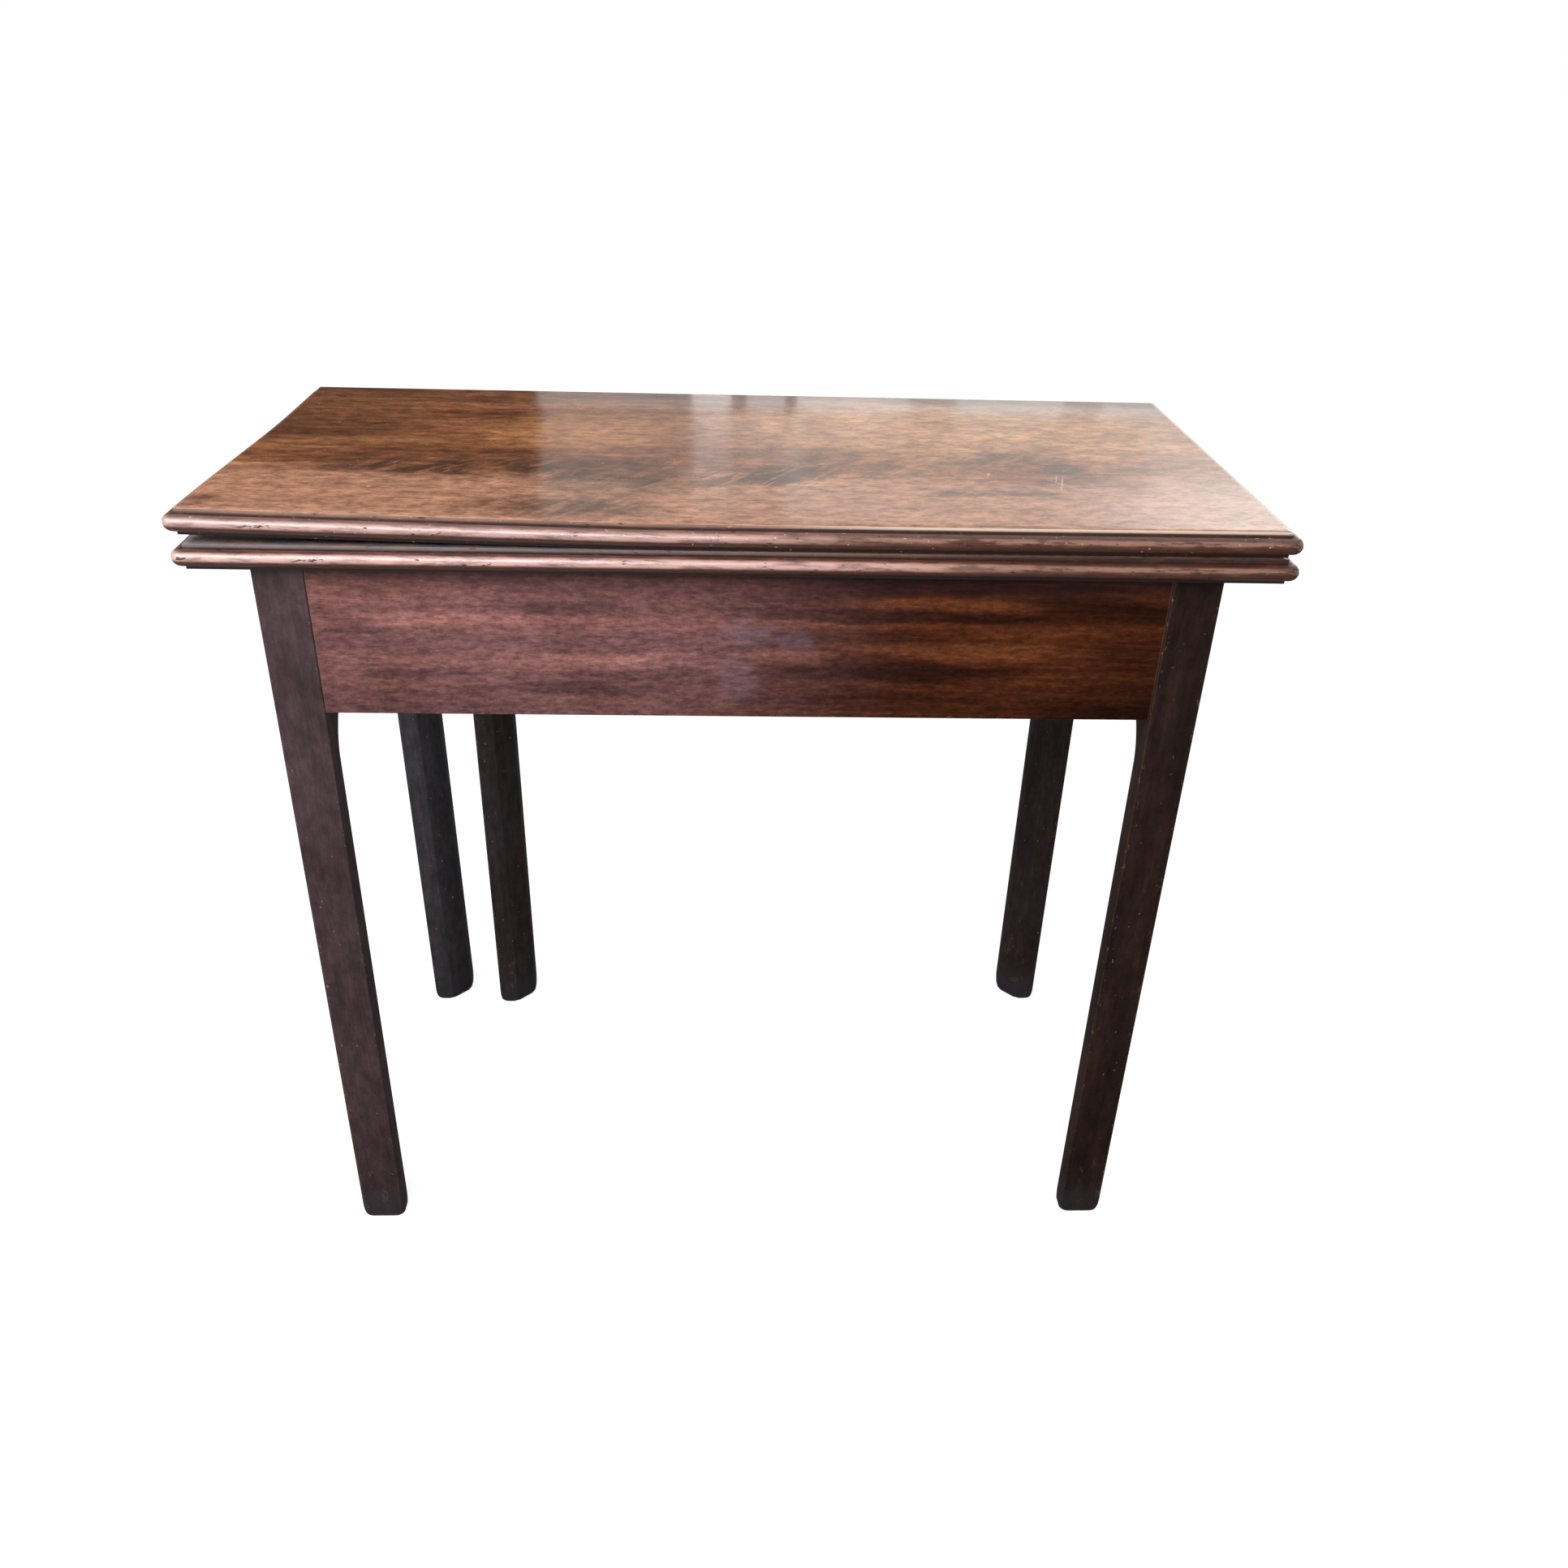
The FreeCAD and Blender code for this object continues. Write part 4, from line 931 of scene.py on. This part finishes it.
# The first number is each leg's pale film, partly bloom and partly painted light, more on the left legs
leg_piece("front_left_leg", "frame", (1, 1), 1.0, 0.0, (0, 0.0, 0.0), -0.0020)
leg_piece("front_right_leg", "frame", (-1, 1), 0.06, 0.3, (0, 0.4, 0.2), 0.0007)
leg_piece("back_left_leg", "frame", (1, -1), 0.80, 1.0, (0, 0.9, 0.5), 0.0045)
leg_piece("back_right_leg", "frame", (-1, -1), 0.25, 0.8, (0, 0.3, 0.8))
gate_notch = (RAIL_BOTTOM - 0.0006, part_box("swing_fly_rail")[0].y)
gate_post = leg_piece("gate_leg", "gate", (1, -1), 0.35, 1.0, (0, 0.7, 0.1), notch=gate_notch)
print("legs: five,", len(gate_post.data.polygons), "faces in the gate's")

# %% [markdown]
# The rails and blocks are plain boards, and their real detail is in their corners, tenons, fingers and
# screw holes, which the measured model already has. Welded copies with eased corners keep all of that. The
# grain follows each board's length, and a shift keeps two boards from showing the same streaks.

# %% Rails and blocks
# Name, body, way of the fibres, finish, slot, radius of the corners and the shortest one to round
BOARDS = {
    "front_rail": ("frieze", "frame", "x", frieze_wood, "frame_mahogany", 0.0008, 0.02),
    "left_side_rail": ("left_side", "frame", "y", side_wood, "frame_mahogany", 0.0008, 0.02),
    "right_side_rail": ("right_side", "frame", "y", side_wood, "frame_mahogany", 0.0008, 0.02),
    "inner_back_rail": ("inner_rail", "frame", "x", oak, "secondary_wood", 0.0007, 0.02),
    "fixed_fly_rail": ("fixed_rail", "frame", "x", oak, "secondary_wood", 0.0007, 0.015),
    "swing_fly_rail": ("swinging_rail", "gate", "x", oak, "secondary_wood", 0.0007, 0.015),
}
for name in ("front_left", "front_middle", "front_right", "left", "right", "back_left", "back_right"):
    fibres = "y" if name in ("left", "right") else "x"
    BOARDS[f"{name}_block"] = (f"{name}_glue_block", "frame", fibres, oak, "secondary_wood", 0.001, 0.02)

for count, (node, (name, body, fibres, wood, slot, radius, shortest)) in enumerate(BOARDS.items()):
    low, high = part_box(node)
    skin = welded_copy(node)
    ease(skin, long_corners(skin, shortest), radius)
    shift = (0, 0, 0) if node == "front_rail" else (0.83 * count, 0.31 * count, 0.17 * count)
    lay_grain(skin, fibres, low, high, shift)
    piece = into_piece(name, skin, body, [node], wood)
    print(name, len(piece.data.polygons), "faces")

# %% [markdown]
# The hinges sit in the ends of the leaves: straps with forked ends, a link in the forks, and pins. They are
# small castings with filed edges, so their corners get a finer rounding than the wood.

# %% Hinges and the gate's pin


def metal_piece(name, node, body, radius, shortest, finish):
    skin = welded_copy(node)
    ease(skin, long_corners(skin, shortest), radius)
    into_piece(name, skin, body, [node], finish)


HANDS = ("left", "right")
hinge_nodes = [("hinge_links", f"{hand}_hinge_link") for hand in HANDS]
for level, body in (("lower", "frame"), ("upper", "upper_leaf")):
    hinge_nodes += [(body, f"{hand}_{level}_hinge_{kind}") for hand in HANDS for kind in ("strap", "pin")]
for body, node in hinge_nodes:
    metal_piece(node.replace("hinge", "brass"), node, body, 0.0003, 0.004, brass)
metal_piece("gate_wire_pin", "knuckle_pin", "frame", 0.0004, 0.0005, iron)
print("hinges:", len(hinge_nodes), "pieces")

# %% [markdown]
# Screws repeat, so Geometry Nodes make them. One tree builds a countersunk screw, saws the slot with a
# Boolean, and puts a copy on every point of a mesh, along a direction that the point carries, turned by a
# seeded random angle as a joiner leaves them. Realized and turned into a plain mesh, each group rides on
# the body that it is driven into.

# %% Screws
SCREW_SIZES = ("Head Radius", "Sink", "Shank Radius", "Length", "Tip", "Slot Width", "Slot Depth")


def screw_tree():
    tree = bpy.data.node_groups.new("Slotted screws", "GeometryNodeTree")
    kinds = {"Spots": "Geometry", **dict.fromkeys(SCREW_SIZES, "Float"), "Seed": "Int", "Finish": "Material"}
    sockets = {}
    for label, kind in kinds.items():
        made = tree.interface.new_socket(name=label, in_out="INPUT", socket_type=f"NodeSocket{kind}")
        sockets[label] = made.identifier
    tree.interface.new_socket(name="Screws", in_out="OUTPUT", socket_type="NodeSocketGeometry")
    given = tree.nodes.new("NodeGroupInput").outputs

    head = add(tree, "GeometryNodeMeshCone", Vertices=28, Radius_Top=given["Shank Radius"],
               Radius_Bottom=given["Head Radius"], Depth=given["Sink"])
    saw_size = add(tree, "ShaderNodeCombineXYZ", X=times(given["Head Radius"], 2.4), Y=given["Slot Width"],
                   Z=times(given["Slot Depth"], 2.0))
    saw = add(tree, "GeometryNodeMeshCube", Size=saw_size)
    sawn = add(tree, "GeometryNodeMeshBoolean", {"operation": "DIFFERENCE"})
    give(sawn.inputs[0], head)
    give(sawn.inputs[1], saw)

    straight = work_out("SUBTRACT", work_out("SUBTRACT", given["Length"], given["Sink"]), given["Tip"])
    shank = add(tree, "GeometryNodeMeshCylinder", Vertices=16, Radius=given["Shank Radius"], Depth=straight)
    shank_up = work_out("ADD", given["Sink"], times(straight, 0.5))
    tip = add(tree, "GeometryNodeMeshCone", Vertices=16, Radius_Top=0.0, Radius_Bottom=given["Shank Radius"],
              Depth=given["Tip"])
    tip_up = work_out("SUBTRACT", given["Length"], given["Tip"])
    whole = add(tree, "GeometryNodeJoinGeometry", Geometry=sawn)
    for part, rise in ((shank, shank_up), (tip, tip_up)):
        offset = add(tree, "ShaderNodeCombineXYZ", Z=rise)
        moved = add(tree, "GeometryNodeTransform", Geometry=part, Translation=offset)
        fill(whole, Geometry=moved)

    way = add(tree, "GeometryNodeInputNamedAttribute", {"data_type": "FLOAT_VECTOR"}, Name="way")
    aim = add(tree, "FunctionNodeAlignRotationToVector", {"axis": "Z"}, Vector=way.outputs["Attribute"])
    chance = add(tree, "FunctionNodeRandomValue", {"data_type": "FLOAT"}, Seed=given["Seed"])
    give(chance.inputs[2], 0.0)
    give(chance.inputs[3], math.pi)
    spin = add(tree, "FunctionNodeAxisAngleToRotation", Axis=(0, 0, 1), Angle=chance.outputs[1])
    turned = add(tree, "FunctionNodeRotateRotation", {"rotation_space": "LOCAL"}, Rotation=aim,
                 Rotate_By=spin)
    copies = add(tree, "GeometryNodeInstanceOnPoints", Points=given["Spots"], Instance=whole,
                 Rotation=turned)
    real = add(tree, "GeometryNodeRealizeInstances", Geometry=copies)
    coated = add(tree, "GeometryNodeSetMaterial", Geometry=real, Material=given["Finish"])
    add(tree, "NodeGroupOutput", Screws=coated)
    return tree, sockets


screws_tree, screw_sockets = screw_tree()


def drive_screws(name, node, body, spots, way_of, sizes, finish, seed):
    """Put a screw at every spot of a group, each along its own way."""
    points = bpy.data.meshes.new(f"{name}_spots")
    points.from_pydata(spots, [], [])
    ways = points.attributes.new("way", "FLOAT_VECTOR", "POINT")
    for number, spot in enumerate(spots):
        ways.data[number].vector = way_of(spot)
    carrier = bpy.data.objects.new(f"{name}_carrier", points)
    scene.collection.objects.link(carrier)
    modifier = carrier.modifiers.new("Screws", "NODES")
    modifier.node_group = screws_tree
    for label, value in {**sizes, "Seed": seed, "Finish": finish}.items():
        modifier[screw_sockets[label]] = value
    built = carrier.evaluated_get(bpy.context.evaluated_depsgraph_get())
    mesh = bpy.data.meshes.new_from_object(built)
    mesh.name = name
    carrier.modifiers.remove(modifier)
    bpy.data.objects.remove(carrier)
    settle(name, mesh, body, [node])
    print(name, len(spots), "screws,", len(mesh.polygons), "faces")


WOOD_SCREW = {"Head Radius": 0.0042, "Sink": 0.0026, "Shank Radius": 0.002, "Tip": 0.005,
              "Slot Width": 0.0009, "Slot Depth": 0.001}
BRASS_SCREW = {"Head Radius": 0.0032, "Sink": 0.002, "Shank Radius": 0.0015, "Tip": 0.005,
               "Slot Width": 0.0009, "Slot Depth": 0.001, "Length": 0.018}

block_spots = []
for node in BOARDS:
    if node.endswith("_block"):
        low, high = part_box(node)
        block_spots.append(Vector(((low.x + high.x) / 2, (low.y + high.y) / 2, low.z)))
drive_screws("top_block_screws", "top_screws", "frame", block_spots, lambda spot: (0, 0, 1),
             {**WOOD_SCREW, "Length": 0.040}, iron, 3)

low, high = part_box("fly_rail_screws")
head = WOOD_SCREW["Head Radius"]
rail_spots = [Vector((x, high.y, z))
              for x in (low.x + head, high.x - head) for z in (low.z + head, high.z - head)]
drive_screws("back_rail_screws", "fly_rail_screws", "frame", rail_spots, lambda spot: (0, -1, 0),
             {**WOOD_SCREW, "Length": 0.028}, iron, 5)

head = BRASS_SCREW["Head Radius"]
for level, body, seed in (("lower", "frame", 7), ("upper", "upper_leaf", 11)):
    low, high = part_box(f"{level}_hinge_screws")
    spots = [Vector((x, y, (low.z + high.z) / 2))
             for x in (low.x, high.x) for y in (low.y + head, high.y - head)]
    drive_screws(f"{level}_leaf_screws", f"{level}_hinge_screws", body, spots,
                 lambda spot: (-math.copysign(1, spot.x), 0, 0), BRASS_SCREW, brass, seed)

# %% [markdown]
# The baize is a real sheet of cloth, glued flat in its bed. Each one is a fine grid with the faint waves of
# old glue, given the thickness of the cloth. The sheet on the folding leaf follows that leaf's warp by the
# same rule.

# %% Baize sheets
COLUMNS, ROWS, WAVE_HEIGHT = 98, 44, 0.00004


def baize_sheet(name, node, body, rule):
    low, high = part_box(node)
    wide, deep, _ = high - low
    sheet = bmesh.new()
    layers = []
    for z in (low.z, high.z):
        layer = []
        for j in range(ROWS + 1):
            for i in range(COLUMNS + 1):
                x, y = low.x + wide * i / COLUMNS, low.y + deep * j / ROWS
                wave = WAVE_HEIGHT * math.sin(31 * x + 13 * y) * math.sin(47 * y - 9 * x)
                layer.append(sheet.verts.new(Vector((x, y, z + wave)) + rule(x, y)))
        layers.append(layer)
    across = COLUMNS + 1
    for j in range(ROWS):
        for i in range(COLUMNS):
            square = [j * across + i, j * across + i + 1, (j + 1) * across + i + 1, (j + 1) * across + i]
            sheet.faces.new([layers[1][k] for k in square])
            sheet.faces.new([layers[0][k] for k in reversed(square)])
    rim = (list(range(COLUMNS)) + [j * across + COLUMNS for j in range(ROWS)]
           + [ROWS * across + i for i in range(COLUMNS, 0, -1)] + [j * across for j in range(ROWS, 0, -1)])
    for here, there in zip(rim, rim[1:] + rim[:1]):
        sheet.faces.new((layers[0][here], layers[0][there], layers[1][there], layers[1][here]))
    bmesh.ops.recalc_face_normals(sheet, faces=sheet.faces)
    piece = into_piece(name, sheet, body, [node], baize)
    print(name, f"{wide * 1000:.0f} x {deep * 1000:.0f} mm")


baize_sheet("fixed_leaf_baize", "lower_baize", "frame", lambda x, y: Vector())
baize_sheet("folding_leaf_baize", "upper_baize", "upper_leaf", warp)

# %% [markdown]
# The studio is plain: a pale floor, a pale surround and soft lamps. Camera and mirror rays see pure white
# around the table, while other rays get a plain grey light, so the white costs no contrast on the wood. The
# floor adds a little of its own light to what falls on it, which keeps it white but leaves the table's
# shadow.

# %% Floor and surround


def stage_sheet(name, corners):
    """A flat sheet of the studio with an empty material. Returns it and the material's tree."""
    mesh = bpy.data.meshes.new(name)
    mesh.from_pydata(corners, [], [(0, 1, 2, 3)])
    holder = bpy.data.objects.new(name, mesh)
    scene.collection.objects.link(holder)
    paint = bpy.data.materials.new(name)
    paint.use_nodes = True
    paint.node_tree.nodes.clear()
    mesh.materials.append(paint)
    return holder, paint.node_tree


def joined(tree, kind, first, second, **sockets):
    """One shader from two others."""
    made = add(tree, kind, **sockets)
    for socket, shader in zip(list(made.inputs)[-2:], (first, second)):
        give(socket, shader)
    return made


def show(tree, output, others, seen):
    """Camera, mirror and glass rays get one shader, and all the others another."""
    rays = add(tree, "ShaderNodeLightPath").outputs
    share = most(*(rays[f"Is {kind} Ray"] for kind in ("Camera", "Glossy", "Transmission")))
    chosen = joined(tree, "ShaderNodeMixShader", others, seen, Fac=share)
    add(tree, output, Surface=chosen)


floor, tree = stage_sheet("Floor", [(-30, -30, 0), (30, -30, 0), (30, 30, 0), (-30, 30, 0)])
plain = add(tree, "ShaderNodeBsdfDiffuse", Color=rgb(0.62, 0.62, 0.63))
faint = add(tree, "ShaderNodeBsdfDiffuse", Color=rgb(0.27, 0.27, 0.27))
glow = add(tree, "ShaderNodeEmission", Color=rgb(1, 1, 1), Strength=0.87)
show(tree, "ShaderNodeOutputMaterial", plain, joined(tree, "ShaderNodeAddShader", faint, glow))

world = bpy.data.worlds.new("Pale surround")
scene.world = world
world.use_nodes = True
tree = world.node_tree
tree.nodes.clear()
white = add(tree, "ShaderNodeBackground", Color=rgb(1, 1, 1), Strength=1.0)
side = parts_of(add(tree, "ShaderNodeTexCoord").outputs["Generated"])[0]
from_left = add(tree, "ShaderNodeMapRange", Value=side, From_Min=-1.0, From_Max=1.0, To_Min=0.78,
                To_Max=0.30)
soft = add(tree, "ShaderNodeBackground", Color=rgb(0.95, 0.97, 1.0), Strength=from_left)
show(tree, "ShaderNodeOutputWorld", soft, white)
print(floor.name, "and surround are white for the camera")

# %% [markdown]
# Two soft lamps light the wood: a large one in front, high and to the left, like a north window, and a
# smaller one at the left. The shine comes from cards that only mirror rays see. Upright ones behind the
# table give the polished top its bands of light, and a dark one among them keeps its left deep. Two in
# front brighten the moulded edges, and a flag at the right and one on the floor keep the rest dark.
# Photographers shape the shine of furniture in this way.

# %% Lamps and cards
CARD_BOTTOM = 0.02


def lamp(name, at, aim, width, height, power, colour):
    light = bpy.data.lights.new(name, "AREA")
    light.shape = "RECTANGLE"
    light.size, light.size_y = width, height
    light.energy = power
    light.color = colour
    holder = bpy.data.objects.new(name, light)
    scene.collection.objects.link(holder)
    facing = (Vector(aim) - Vector(at)).to_track_quat("-Z", "Y")
    holder.matrix_world = Matrix.LocRotScale(Vector(at), facing, None)
    holder.visible_camera = False
    print(f"{name}: {power} W, {width} x {height} m")


lamp("Window lamp", (-0.75, -1.7, 1.95), (-0.1, 0.0, 0.6), 1.5, 1.0, 44, (0.97, 0.98, 1.0))
lamp("Left lamp", (-1.6, -0.7, 1.45), (-0.2, 0.0, 0.6), 0.8, 0.8, 16, (0.94, 0.97, 1.0))


def card(name, corners, brightness, soft_edge=0.0):
    """A card as bright as a number says. Its left edge may fade out over some metres."""
    holder, tree = stage_sheet(name, corners)
    shader = add(tree, "ShaderNodeEmission", Color=rgb(1, 0.985, 0.96), Strength=brightness)
    if soft_edge:
        aside = parts_of(add(tree, "ShaderNodeTexCoord").outputs["Object"])[0]
        shader = joined(tree, "ShaderNodeMixShader", add(tree, "ShaderNodeBsdfTransparent"), shader,
                        Fac=fade(aside, corners[0][0], corners[0][0] + soft_edge))
    add(tree, "ShaderNodeOutputMaterial", Surface=shader)
    for kind in ("camera", "diffuse", "transmission", "shadow", "volume_scatter"):
        setattr(holder, f"visible_{kind}", False)
    print(f"{name}: brightness {brightness}")


def upright(left, right, top, y, bottom=CARD_BOTTOM):
    return [(left, y, bottom), (right, y, bottom), (right, y, top), (left, y, top)]


# Brightness, left, right, top, distance back and, where a card hangs, its bottom
UPRIGHT_CARDS = {
    "Backdrop card": (0.42, -3.5, 3.5, 2.8, 2.50),
    "Dark card": (0.04, -3.2, -0.485, 1.75, 2.30),
    "Dim card": (0.54, -0.485, -0.103, 1.47, 2.30),
    "Door card": (1.26, -0.103, -0.006, 1.46, 2.30),
    "Panel card": (1.00, -0.006, 0.139, 1.46, 2.30),
    "Left post card": (0.45, -0.006, 0.032, 1.262, 2.29),
    "Right post card": (0.45, 0.128, 0.156, 1.262, 2.29),
    "Bright card": (1.20, 0.139, 2.4, 1.62, 2.35),
    "Rail card": (0.72, 0.180, 1.08, 1.44, 2.33, 1.31),
    "First strip card": (0.85, 0.440, 0.560, 1.34, 2.31),
    "Second strip card": (0.90, 0.830, 0.930, 1.37, 2.31),
    "Low front card": (3.0, -2.6, 0.19, 0.24, -1.25),
    "Right front card": (2.5, 0.35, 1.70, 1.65, -1.75, 1.30),
    "Right flag": (0.15, 0.15, 3.20, 2.60, -2.00),
}
for name, (brightness, *place) in UPRIGHT_CARDS.items():
    card(name, upright(*place), brightness)
card("Glare card", upright(0.70, 2.4, 1.95, 2.30, 1.40), 2.9, 0.75)
card("Floor card", [(-1.6, -1.95, 0.004), (2.4, -1.95, 0.004), (2.4, 1.6, 0.004), (-1.6, 1.6, 0.004)], 0.15)
